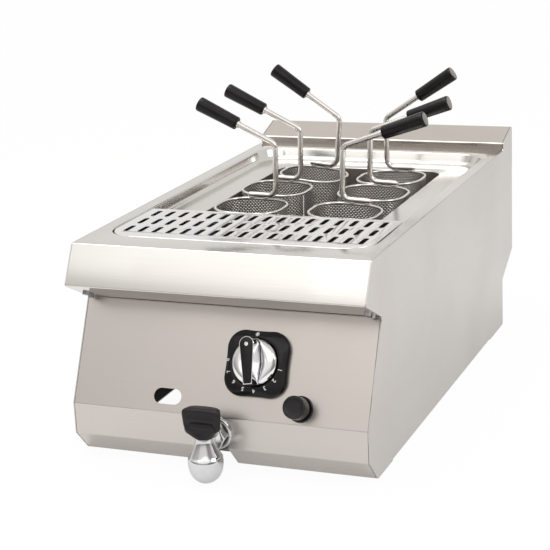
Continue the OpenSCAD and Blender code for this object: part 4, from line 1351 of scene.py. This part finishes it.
@dataclass
class ControlKnob:
    """Bezel with its printed numbers, chrome dial and black grip bar, drawn on the panel."""

    place: Matrix = field(default_factory=lambda: PanelFrame().at(46.5, 71))
    half: float = 41.4
    corner: float = 23.0
    hollow: float = 0.6
    bezel_shift: tuple[float, float] = (1.4, -1.1)
    print_shift: float = -0.8
    thick: float = 10.0
    bore: float = 30.5
    bore_floor: float = 3.0
    dial: float = 29.5
    dial_low: float = 7.5
    top: float = 37.0
    bar_tip: float = 19.5
    bar_tail: float = -30.0
    bar_halves: tuple[float, float] = (9.5, 5.8)
    bar_turn: float = 9.0
    number_radius: float = 35.3
    number_size: float = 7.0
    number_angles: tuple[float, ...] = (101, 125.3, 149.6, 173.9, 198.2, 222.5, 246.8, 271.1)
    # Radii of the dots on the bezel and on the bar.
    dots: tuple[float, float] = (2.5, 2.4)
    dot_radius: float = 35.2
    ink_lift: float = 0.3

    def build(self) -> None:
        """Models the knob's pieces and hands them over."""
        turned = self.place @ Matrix.Rotation(math.radians(self.bar_turn), 4, "Z")
        bezel = self.bezel()
        ink = self.print(bezel)
        hand_over(bezel, Plain.knob, "cabinet", ["knob_bezel"], self.place, crease=40)
        hand_over(ink, Plain.ink, "cabinet", [], self.place)
        hand_over(self.chrome(), Steel.chrome, "knob", ["knob_dial"], turned, crease=38)
        hand_over(self.bar(), Plain.knob, "knob", ["knob_grip"], turned, crease=38)
        pointer = self.dot("pointer_dot", self.bar_tip, self.top, self.dots[1])
        hand_over(pointer, Plain.ink, "knob", [], turned)

    def bezel(self) -> Workpiece:
        """Lofts the pillow-like bezel from its foot over its domed rim and down into the dial's bore.

        Returns:
            The workpiece.
        """
        angles = np.linspace(0, 2 * math.pi, 128, endpoint=False)
        outer = [(0.0, 0.0), (0.0, 4.4), (0.2, 5.4), (0.7, 6.3), (1.5, 6.9), (2.6, 7.3)]
        inner = [(1.6, self.thick), (0.6, 9.8), (0.15, 9.3), (0.0, 8.4), (0.0, self.bore_floor)]
        reach = square_reach(angles, self.half, self.corner, self.hollow)
        loops = [polar_loop(angles, reach - i, z) + [*self.bezel_shift, 0] for i, z in outer]
        rim, lip = loops[-1], polar_loop(angles, self.bore + inner[0][0], self.thick)
        for share, z in ((0.25, 8.35), (0.5, 9.1), (0.75, 9.65)):
            loops.append(np.column_stack([(rim * (1 - share) + lip * share)[:, :2], np.full(len(angles), z)]))
        loops += [polar_loop(angles, self.bore + i, z) for i, z in inner]
        loops.append(polar_loop(angles, 4.0, self.bore_floor))
        piece = lofted("knob_bezel_rim", np.array(loops))
        piece.done()
        return piece

    def bar_reach(self, angles: np.ndarray, grow: float) -> np.ndarray:
        """Measures the bar's outline from the knob's axis.

        Args:
            angles: Directions in plan.
            grow: How far the outline is moved outwards.

        Returns:
            The distance to the edge in each direction.
        """
        wide, thin = (h + grow for h in self.bar_halves)
        way = np.stack([np.cos(angles), np.sin(angles)], axis=1)
        side = np.array([self.bar_tip - self.bar_tail, -(wide - thin)])
        side = side / np.linalg.norm(side)
        limits = []
        edges = (
            (side, (wide, self.bar_tip)),
            (side * [-1, 1], (-wide, self.bar_tip)),
            (np.array([0, -1]), (0, self.bar_tail - grow)),
            (np.array([0, 1]), (0, self.bar_tip)),
        )
        for normal, spot in edges:
            facing = way @ normal
            reach = (normal @ np.array(spot)) / np.maximum(facing, 1e-6)
            limits.append(np.where(facing > 1e-6, reach, np.inf))
        flat = np.min(limits, axis=0)
        ahead = way[:, 1] * self.bar_tip
        inside = ahead**2 - self.bar_tip**2 + wide**2
        tip = np.where((inside > 0) & (ahead > 0), ahead + np.sqrt(np.maximum(inside, 0)), 0)
        return np.maximum(flat, tip)

    def bar_angles(self) -> np.ndarray:
        """Chooses directions that follow both the dial's edge and the bar's outline.

        Returns:
            The directions, in order.
        """
        wide, thin = self.bar_halves
        turn = np.radians(np.linspace(-15, 195, 31))
        spots = [(wide * math.cos(a), self.bar_tip + wide * math.sin(a)) for a in turn]
        spots += [(thin * k / 4, self.bar_tail) for k in range(-4, 5)]
        spread = np.concatenate([np.linspace(-math.pi, math.pi, 96, endpoint=False),
                                 [math.atan2(y, x) for x, y in spots]])
        return np.unique(spread.round(3))

    def chrome(self) -> Workpiece:
        """Lofts the dial: its edge, two rounded cheeks and the ridge that carries the bar.

        Returns:
            The workpiece.
        """
        angles = self.bar_angles()
        edge, ridge = np.full(len(angles), self.dial), self.bar_reach(angles, 0)
        foot = [(self.dial - 0.5, self.dial_low), (edge, self.dial_low + 0.6)]
        rise = [
            (0, 11.4), (0.012, 12.3), (0.04, 13.3), (0.1, 14.6), (0.2, 16.0), (0.32, 17.1), (0.46, 17.6),
            (0.6, 17.4), (0.7, 16.8), (0.78, 15.9), (0.82, 15.3), (0.835, 14.6), (0.84, 12.4), (0.87, 12.2),
            (0.885, 14.0), (0.905, 17.0), (0.935, 22.0), (0.965, 27.6), (0.988, 32.6), (1.0, 35.6),
            (1.0, 36.5),
        ]
        lip = [(0.3, 36.8), (0.8, 36.8), (1.1, 35.2)]
        loops = [polar_loop(angles, reach, z) for reach, z in foot]
        loops += [polar_loop(angles, edge * (1 - s) + ridge * s, z) for s, z in rise]
        loops += [polar_loop(angles, self.bar_reach(angles, -g), z) for g, z in lip]
        return lofted("knob_dial_chrome", np.array(loops))

    def bar(self) -> Workpiece:
        """Lofts the black bar that lies in the ridge.

        Returns:
            The workpiece.
        """
        angles = self.bar_angles()
        rise = [(1.05, 35.0), (1.05, 36.5), (1.3, 36.9), (1.9, self.top)]
        loops = [polar_loop(angles, self.bar_reach(angles, -g), z) for g, z in rise]
        return lofted("knob_grip_bar", np.array(loops))

    def dot(self, name: str, up: float, z: float, radius: float) -> Workpiece:
        """Makes one printed dot above the knob's axis.

        Args:
            name: Name of the object.
            up: Its place up the panel.
            z: Height of the surface below it.
            radius: Its radius.

        Returns:
            The workpiece.
        """
        piece = Workpiece(name)
        piece.turned([(radius, z - 0.2), (radius, z + 0.03), (radius - 0.15, z + 0.08), (0.2, z + 0.1)], 28)
        piece.place(Matrix.Translation((0, up, 0)))
        return piece

    def print(self, bezel: Workpiece) -> Workpiece:
        """Lays the numbers round the bezel, with their tops outwards, and the dot at its top.

        Args:
            bezel: The rim that carries them.

        Returns:
            The workpiece.
        """
        piece = Workpiece("bezel_print")
        piece.ring(self.dots[0], 28, (self.print_shift, self.dot_radius, self.thick + 1), filled=True)
        for _ in range(3):
            bpy.ops.mesh.inset(thickness=0.6)
        piece.done()
        for number, degrees in enumerate(self.number_angles, start=1):
            bpy.ops.object.select_all(action="DESELECT")
            bpy.ops.object.text_add()
            text = bpy.context.object.data
            text.body, text.size, text.offset = str(number), self.number_size, 0.12
            text.align_x, text.align_y = "CENTER", "CENTER"
            bpy.ops.object.convert(target="MESH")
            digit = object.__new__(Workpiece)
            digit.obj = bpy.context.object
            turn = Matrix.Rotation(-math.radians(degrees), 4, "Z")
            digit.place(Matrix.Translation((self.print_shift, 0, self.thick + 1)) @ turn
                        @ Matrix.Translation((0, self.number_radius, 0)))
            piece.join(digit)
        piece.modify("SHRINKWRAP", target=bezel.obj, wrap_method="PROJECT", use_project_z=True,
                     use_positive_direction=False, use_negative_direction=True, offset=self.ink_lift)
        return piece


@dataclass
class Igniter:
    """Piezo igniter: barrel with its collar, and the dished button."""

    place: Matrix = field(default_factory=lambda: PanelFrame().at(110, 19.5))
    button: float = 13.5
    cap: float = 14.4
    front: float = 27.0
    button_low: float = -6.0
    barrel: float = 15.0
    barrel_low: float = -32.0
    barrel_floor: float = -14.0
    piezo: float = 11.0
    piezo_low: float = -62.0
    collar: float = 16.5
    collar_thick: float = 3.0

    def build(self) -> None:
        """Models both pieces and hands them over."""
        hand_over(self.sleeve(), Plain.button, "cabinet", ["igniter_body"], self.place)
        hand_over(
            self.push(), Plain.button, "igniter_button", ["igniter_button"], self.place
        )

    def sleeve(self) -> Workpiece:
        """Turns the barrel, from the piezo end to the collar and down into its bore.

        Returns:
            The workpiece.
        """
        piece = Workpiece("igniter_sleeve")
        bore, high = self.button + 0.05, self.collar_thick
        piece.turned([
            (self.piezo, self.piezo_low), (self.piezo, self.barrel_low), (self.barrel, self.barrel_low),
            (self.barrel, 0), (self.collar, 0), (self.collar, high - 1.1), (self.collar - 0.25, high - 0.5),
            (self.collar - 0.9, high), (bore + 0.7, high), (bore, high - 0.7), (bore, self.barrel_floor),
            (1.0, self.barrel_floor),
        ])
        return piece

    def push(self) -> Workpiece:
        """Turns the button with its bevelled rim and shallow dish.

        Returns:
            The workpiece.
        """
        piece = Workpiece("igniter_push")
        wide, cap, front = self.button, self.cap, self.front
        piece.turned([
            (wide - 0.5, self.button_low), (wide - 0.1, self.button_low + 0.4), (wide - 0.1, 9.0),
            (wide + 0.5, 9.15), (cap, 9.6), (cap, front - 1.7), (cap - 0.2, front - 0.8),
            (cap - 0.7, front - 0.2), (cap - 1.4, front), (cap - 2.0, front - 0.2), (cap - 2.9, front - 0.75),
            (cap - 6, front - 1.0), (1.0, front - 1.1),
        ])
        return piece


@dataclass
class DrainTap:
    """Drain tap: wall flange, washer, hexagon, pear-shaped spout and paddle lever."""

    axis_y: float = -66.0
    pipe_z: float = 52.0
    wall_y: float = -28.5
    flange: tuple[float, float] = (21.5, 5.0)
    hexagon: tuple[float, float] = (18.5, 12.0)
    hexagon_start: float = 5.8
    arm: float = 7.5
    lever_low: float = 60.3
    lever_top: float = 97.8
    lever_half: float = 27.5
    lever_back: float = 20.0
    # Finger groove and the two swells beside it: depth, place above the groove and width.
    groove: tuple[Point, ...] = ((3.2, 0.0, 3.2), (-1.1, 7.5, 3.0), (-0.9, -6.5, 2.6))
    groove_height: float = 0.47

    def build(self) -> None:
        """Models the tap's pieces and hands them over."""
        wall = self.on_wall(drawing_frame())
        hand_over(self.disc(), Steel.plating, "cabinet", ["tap_flange"], wall)
        hand_over(self.washer(), Plain.rubber, "cabinet", [], wall)
        hand_over(self.body(), Steel.nickel, "cabinet", ["tap_body"])
        hand_over(self.lever(), Plain.lever, "tap_handle", ["tap_handle"], crease=50)

    def on_wall(self, start: Matrix) -> Matrix:
        """Returns a frame moved to the pipe's end in the wall, with z out of the wall."""
        spot = Matrix.Translation((0, self.wall_y, self.pipe_z))
        return start @ spot @ Matrix.Rotation(math.pi / 2, 4, "X")

    def disc(self) -> Workpiece:
        """Turns the wall flange with its rounded edge.

        Returns:
            The workpiece.
        """
        piece = Workpiece("tap_wall_disc")
        wide, thick = self.flange
        profile = [
            (13.2, 0), (wide - 0.3, 0), (wide, 0.4), (wide, thick - 2.2), (wide - 0.4, thick - 1.1),
            (wide - 1.2, thick - 0.35), (wide - 2.4, thick), (14.4, thick), (13.4, thick - 0.5), (13.2, 0),
        ]
        piece.turned(profile, 64, closed=True)
        return piece

    def washer(self) -> Workpiece:
        """Turns the black washer between the flange and the hexagon.

        Returns:
            The workpiece.
        """
        piece = Workpiece("tap_washer")
        low, high = self.flange[1] + 0.05, self.hexagon_start - 0.05
        profile = [
            (13.4, low), (17.2, low), (17.6, (low + high) / 2), (17.2, high), (13.4, high), (13.4, low),
        ]
        piece.turned(profile, 48, closed=True)
        return piece

    def body(self) -> Workpiece:
        """Joins the spout, the arm and the hexagon.

        Returns:
            The workpiece.
        """
        wall = self.on_wall(Matrix.Identity(4))
        nut = hexagon_nut("tap_hexagon", self.hexagon, self.hexagon_start, 1.1, 3)
        nut.place(wall @ Matrix.Rotation(math.pi / 6, 4, "Z"))
        neck = Workpiece("tap_arm")
        start, end = self.hexagon_start + self.hexagon[1] - 1, self.wall_y - self.axis_y
        neck.turned([(13, start), (12.6, start + 1.2), (9.4, start + 2.2), (self.arm + 0.4, start + 3.8),
                     (self.arm, start + 6), (self.arm, end - 8), (self.arm + 0.8, end)], 40)
        neck.place(wall)
        spout = Workpiece("tap_spout")
        spout.turned([
            (10.2, 60), (10.9, 59.6), (11.2, 58.8), (11.3, 55.8), (12.3, 52.4), (14.3, 48), (16.8, 42.8),
            (19.3, 38), (20.2, 36.4), (20.9, 35.6), (20.8, 34.9), (21.4, 34.2), (21.9, 31), (22.1, 27.6),
            (21.9, 24), (21.4, 20.4), (20.6, 17), (19.5, 13.8), (17.8, 10.4), (15.4, 7.2), (12.2, 4.4),
            (10.2, 3.1), (9, 2.5), (7.6, 2.5), (7, 3.1), (7, 16), (1, 16),
        ], 72)
        spout.place(Matrix.Translation((0, self.axis_y, 0)))
        spout.join(nut, neck)
        return spout

    def lever_level(self, z: float) -> tuple[float, float, float, float]:
        """Gives the lever's section at a height.

        Args:
            z: Height above the lever's foot.

        Returns:
            Reach to the right, half depth, squareness and reach to the left. A squareness of 1 is an ellipse,
            and 0 a rectangle.
        """
        top = self.lever_top - self.lever_low
        heights = [0, 0.6, 3.6, 6, 8.4, 10.4, 12.5, 16]
        heights += [top - down for down in (8, 4.5, 2.4, 1.1, 0.3, 0)]
        halves = [12.2, 12.5, 14.2, 17.2, 19.6, 23.4, 25.2, 25.9, 27.3, 27.2, 26.4, 24.8, 22.6, 20.6]
        lefts = [12.2, 13.6, 20.4, 24.3, 25.2, 25.3, 25.4, 25.9, 27.3, 27.2, 26.4, 24.8, 22.6, 20.6]
        depths = [12.2, 12.5, 12.2, 11.6, 10.8, 10.1, 9.5, 9.1, 9.0, 8.9, 8.6, 8.0, 7.0, 6.0]
        square = [1, 1, 0.95, 0.82, 0.66, 0.54, 0.44, 0.36, 0.34, 0.36, 0.42, 0.5, 0.58, 0.62]
        return tuple(float(np.interp(z, heights, row)) for row in (halves, depths, square, lefts))

    def lever(self) -> Workpiece:
        """Lofts the paddle from its round neck, with a finger groove across its front.

        Returns:
            The workpiece.
        """
        angles = np.linspace(0, 2 * math.pi, 96, endpoint=False)
        tall = self.lever_top - self.lever_low
        near_top = tall - np.array([2.2, 1.6, 0.7, 0.3, 0])
        heights = np.unique(np.concatenate([np.arange(0, tall, 1.0), [0.3, 0.6], near_top]))
        loops = []
        for z in heights:
            right, deep, square, left = self.lever_level(z)
            x, y = np.cos(angles), np.sin(angles)
            x = np.where(x < 0, left, right) * np.sign(x) * np.abs(x) ** square
            y = deep * np.sign(y) * np.abs(y) ** square
            narrow = np.interp(z, [4, 14], [0, 1]) * (1 - self.lever_back / self.lever_half) / 2
            x = x * (1 - narrow * (1 + y / deep))
            front = np.clip(-y / deep, 0, 1) ** 2
            middle = z - tall * self.groove_height + 0.004 * x**2
            waves = (depth * np.exp(-(((middle - at) / width) ** 2)) for depth, at, width in self.groove)
            groove = sum(waves)
            y = y + front * groove * np.clip(1 - (x / 21) ** 4, 0, 1) * np.interp(z, [6, 12], [0, 1])
            loops.append(np.stack([x, self.axis_y + y, np.full(len(angles), self.lever_low + z)], axis=1))
        return lofted("tap_lever_paddle", np.array(loops))


@dataclass
class GasInlet:
    """Hexagon and threaded end of the gas inlet at the back."""

    spot: Point = (150.0, 637.0, 45.0)
    hexagon: tuple[float, float] = (15.5, 8.0)
    thread: tuple[float, float] = (10.5, 24.0)
    bore: float = 7.0
    bore_depth: float = 18.0
    pitch: float = 1.8
    tooth: float = 1.1

    def build(self) -> None:
        """Models the inlet and hands it over."""
        place = drawing_frame() @ Matrix.Translation(self.spot) @ Matrix.Rotation(-math.pi / 2, 4, "X")
        nut = hexagon_nut("gas_inlet_union", self.hexagon, 0, 0.9, 2)
        nut.join(self.threads())
        hand_over(nut, Steel.brass, "cabinet", ["gas_inlet"], place, crease=25)

    def threads(self) -> Workpiece:
        """Turns the threaded end with its bore.

        Returns:
            The workpiece.
        """
        piece = Workpiece("gas_inlet_thread")
        radius, long = self.thread
        low, root = self.hexagon[1] - 0.5, radius - self.tooth
        profile = [(root, low), (root, low + 2)]
        for k in range(int((long - 3) / self.pitch)):
            z = low + 2 + k * self.pitch
            profile += [(radius, z + self.pitch * share) for share in (0.42, 0.58)]
            profile.append((root, z + self.pitch))
        end = low + 0.5 + long
        deep = end - self.bore_depth
        profile += [(root, end), (self.bore + 0.6, end), (self.bore, end - 0.6), (self.bore, deep), (1, deep)]
        piece.turned(profile, 40)
        return piece


# Studio


@dataclass
class PhotoCamera:
    """Camera that stands where the photograph was taken."""

    spot: Point = (779.615, -1725.583, 782.201)
    yaw: float = 22.18
    pitch: float = 15.879
    roll: float = -2.624
    focal: float = 1603.623
    frame_width: float = 550.0
    sensor: float = 36.0

    def build(self) -> None:
        """Makes the camera and gives it to the scene."""
        yaw, pitch, roll = (math.radians(a) for a in (self.yaw, self.pitch, self.roll))
        ahead = Vector((-math.sin(yaw) * math.cos(pitch), math.cos(yaw) * math.cos(pitch), -math.sin(pitch)))
        level = Vector((math.cos(yaw), math.sin(yaw), 0))
        above = level.cross(ahead)
        right = math.cos(roll) * level + math.sin(roll) * above
        up = math.cos(roll) * above - math.sin(roll) * level
        data = bpy.data.cameras.new("photo_camera")
        data.sensor_width = self.sensor
        data.lens = data.sensor_width * self.focal / self.frame_width
        camera = bpy.data.objects.new("photo_camera", data)
        bpy.context.scene.collection.objects.link(camera)
        turn = Matrix((right, up, -ahead)).transposed().to_4x4()
        camera.matrix_world = Matrix.Translation(drawing_frame() @ Vector(self.spot)) @ turn
        bpy.context.scene.camera = camera


@dataclass
class Studio:
    """White floor, soft lamps and a pale room that the steel mirrors."""

    floor_size: float = 14.0
    floor_paper: Colour = (0.86, 0.855, 0.85)
    floor_white: float = 0.95
    floor_mirrored: float = 0.40
    room_mirrored: float = 0.12
    room_strength: float = 2.2
    room_back: Colour = (0.41, 0.403, 0.393)
    # Colours of the room in front, by height from the horizon to straight up.
    room_front: tuple[tuple[float, Colour], ...] = (
        (0.0, (0.17, 0.16, 0.155)), (0.2, (0.23, 0.22, 0.21)), (0.38, (0.40, 0.385, 0.37)),
        (0.52, (0.43, 0.415, 0.40)), (0.552, (0.84, 0.825, 0.81)), (0.68, (0.87, 0.86, 0.85)),
        (0.8, (0.60, 0.60, 0.60)), (1.0, (0.38, 0.375, 0.37)),
    )
    # Soft steps of the room by direction: from, to, and the values at both ends.
    dim_left: tuple[float, ...] = (-0.56, -0.33, 0.66, 1.0)
    dim_right: tuple[float, ...] = (0.45, 0.75, 1.0, 0.3)
    turn_back: tuple[float, ...] = (-0.35, 0.25, 0.0, 1.0)
    # Name, place, size and watts of each softbox, and the point that they face.
    lamps: tuple[tuple[str, Point, float, float], ...] = (
        ("top_softbox", (-0.5, -0.1, 2.1), 1.3, 16.0), ("fill_softbox", (1.7, -0.4, 1.5), 0.9, 9.0),
    )
    lamp_target: Point = (0.0, 0.0, 0.2)

    def build(self) -> None:
        """Makes the floor, the room and the lamps."""
        bpy.context.scene.view_settings.view_transform = "Standard"
        self.floor()
        self.room()
        for lamp in self.lamps:
            self.lamp(*lamp)

    def glowing(self, board: NodeBoard, white: float, mirrored: float) -> bpy.types.NodeSocket:
        """Says how far a surface glows white instead of lighting the part.

        Args:
            board: The board to build on.
            white: Share of the glow that the eye sees.
            mirrored: Share of it that the steel mirrors.

        Returns:
            The share for each kind of ray.
        """
        path = board.add("LightPath").outputs
        seen = board.math("MAXIMUM", path["Is Camera Ray"], path["Is Transmission Ray"])
        glossy = board.math("MULTIPLY", path["Is Glossy Ray"], mirrored)
        return board.math("MAXIMUM", board.math("MULTIPLY", seen, white), glossy)

    def floor(self) -> None:
        """Lays a floor that shows white and keeps a soft shadow."""
        bpy.ops.object.select_all(action="DESELECT")
        bpy.ops.mesh.primitive_plane_add(size=self.floor_size)
        floor = bpy.context.object
        floor.name = "studio_floor"
        material = bpy.data.materials.new("studio_floor")
        board = NodeBoard.cleared(material)
        paper = board.add("BsdfDiffuse", {"Color": (*self.floor_paper, 1)}).outputs[0]
        glow = board.add("Emission", {"Color": (1, 1, 1, 1), "Strength": 1.0}).outputs[0]
        seen = self.glowing(board, self.floor_white, self.floor_mirrored)
        mixed = board.add("MixShader", {0: seen, 1: paper, 2: glow})
        board.add("OutputMaterial", {"Surface": mixed.outputs[0]})
        floor.data.materials.append(material)

    def room(self) -> None:
        """Sets a room that is white to the eye and a pale warm grey in front for the steel to mirror."""
        world = bpy.data.worlds.new("studio_room")
        bpy.context.scene.world = world
        board = NodeBoard.cleared(world)
        way = board.add("SeparateXYZ", {0: board.add("TexCoord").outputs["Generated"]}).outputs
        height = board.add("ValToRGB", {0: way["Z"]})
        stops = height.color_ramp.elements
        stops[0].color, stops[1].color = ((*self.room_front[end][1], 1) for end in (0, -1))
        for position, colour in self.room_front[1:-1]:
            stops.new(position).color = (*colour, 1)
        left, right = board.eased(way["X"], *self.dim_left), board.eased(way["X"], *self.dim_right)
        shade = {"Factor": 1.0, 6: height.outputs[0], 7: board.math("MULTIPLY", left, right)}
        front = board.add("Mix", shade, data_type="RGBA", blend_type="MULTIPLY").outputs[2]
        pale = board.blend(board.eased(way["Y"], *self.turn_back), front, self.room_back)
        seen = self.glowing(board, 1.0, self.room_mirrored)
        near = board.add("Background", {"Color": pale, "Strength": self.room_strength}).outputs[0]
        white = board.add("Background", {"Color": (1, 1, 1, 1), "Strength": 1.0}).outputs[0]
        mixed = board.add("MixShader", {0: seen, 1: near, 2: white})
        board.add("OutputWorld", {"Surface": mixed.outputs[0]})

    def lamp(self, name: str, spot: Point, size: float, watts: float) -> None:
        """Hangs one square softbox that faces the part.

        Args:
            name: Name of the lamp.
            spot: Where it hangs, in metres.
            size: Width and height of the softbox.
            watts: Its power.
        """
        data = bpy.data.lights.new(name, "AREA")
        data.shape, data.size, data.size_y, data.energy = "RECTANGLE", size, size, watts
        lamp = bpy.data.objects.new(name, data)
        bpy.context.scene.collection.objects.link(lamp)
        lamp.location = spot
        lamp.rotation_euler = (Vector(self.lamp_target) - Vector(spot)).to_track_quat("-Z", "Y").to_euler()


@dataclass
class CarriedSolids:
    """The CAD solids that stay in view, each with its finish."""

    finishes: dict[Finish, tuple[str, ...]] = field(default_factory=lambda: {
        Steel.lip: ("upstand",),
        Steel.side: ("side_panel_left", "side_panel_right", "rear_panel", "flue_cover"),
        Steel.panel: ("control_panel",),
        Steel.tank: ("tank", "false_bottom"),
        Steel.inner: ("flue_duct", "base_rail_left", "base_rail_right", "base_rail_front", "base_rail_rear",
                      "heat_shield", "burner_bars", "pilot_bracket"),
        Steel.iron: ("burner_tubes",),
        Steel.brass: ("injector_manifold", "pilot_burner", "thermocouple", "valve_plug", "valve_spindle",
                      "tap_stem"),
        Steel.pipe: ("gas_supply_pipe", "burner_feed_pipe", "drain_pipe"),
        Steel.cast: ("gas_valve",),
        Steel.screw: ("fascia_screws",),
        Plain.ceramic: ("spark_electrode",),
        Plain.rubber: ("foot_pads",),
        Plain.button: ("igniter_nut",),
    })

    def dress(self) -> None:
        """Puts each finish on its solids."""
        for finish, nodes in self.finishes.items():
            for name in nodes:
                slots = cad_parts[name].data.materials
                slots.clear()
                slots.append(finish.material())
            log.info("%s: %s", finish.name, ", ".join(nodes))


def main() -> None:
    """Builds the studio and every sub-assembly in order."""
    logging.basicConfig(level=logging.INFO, format="%(name)s %(message)s")
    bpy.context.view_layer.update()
    PhotoCamera().build()
    Studio().build()
    CarriedSolids().dress()
    Worktop().build()
    DrainTray().build()
    for row in Row:
        for side in Side:
            Basket(row, side).build()
    ControlKnob().build()
    Igniter().build()
    DrainTap().build()
    GasInlet().build()


if __name__ == "__main__":
    main()
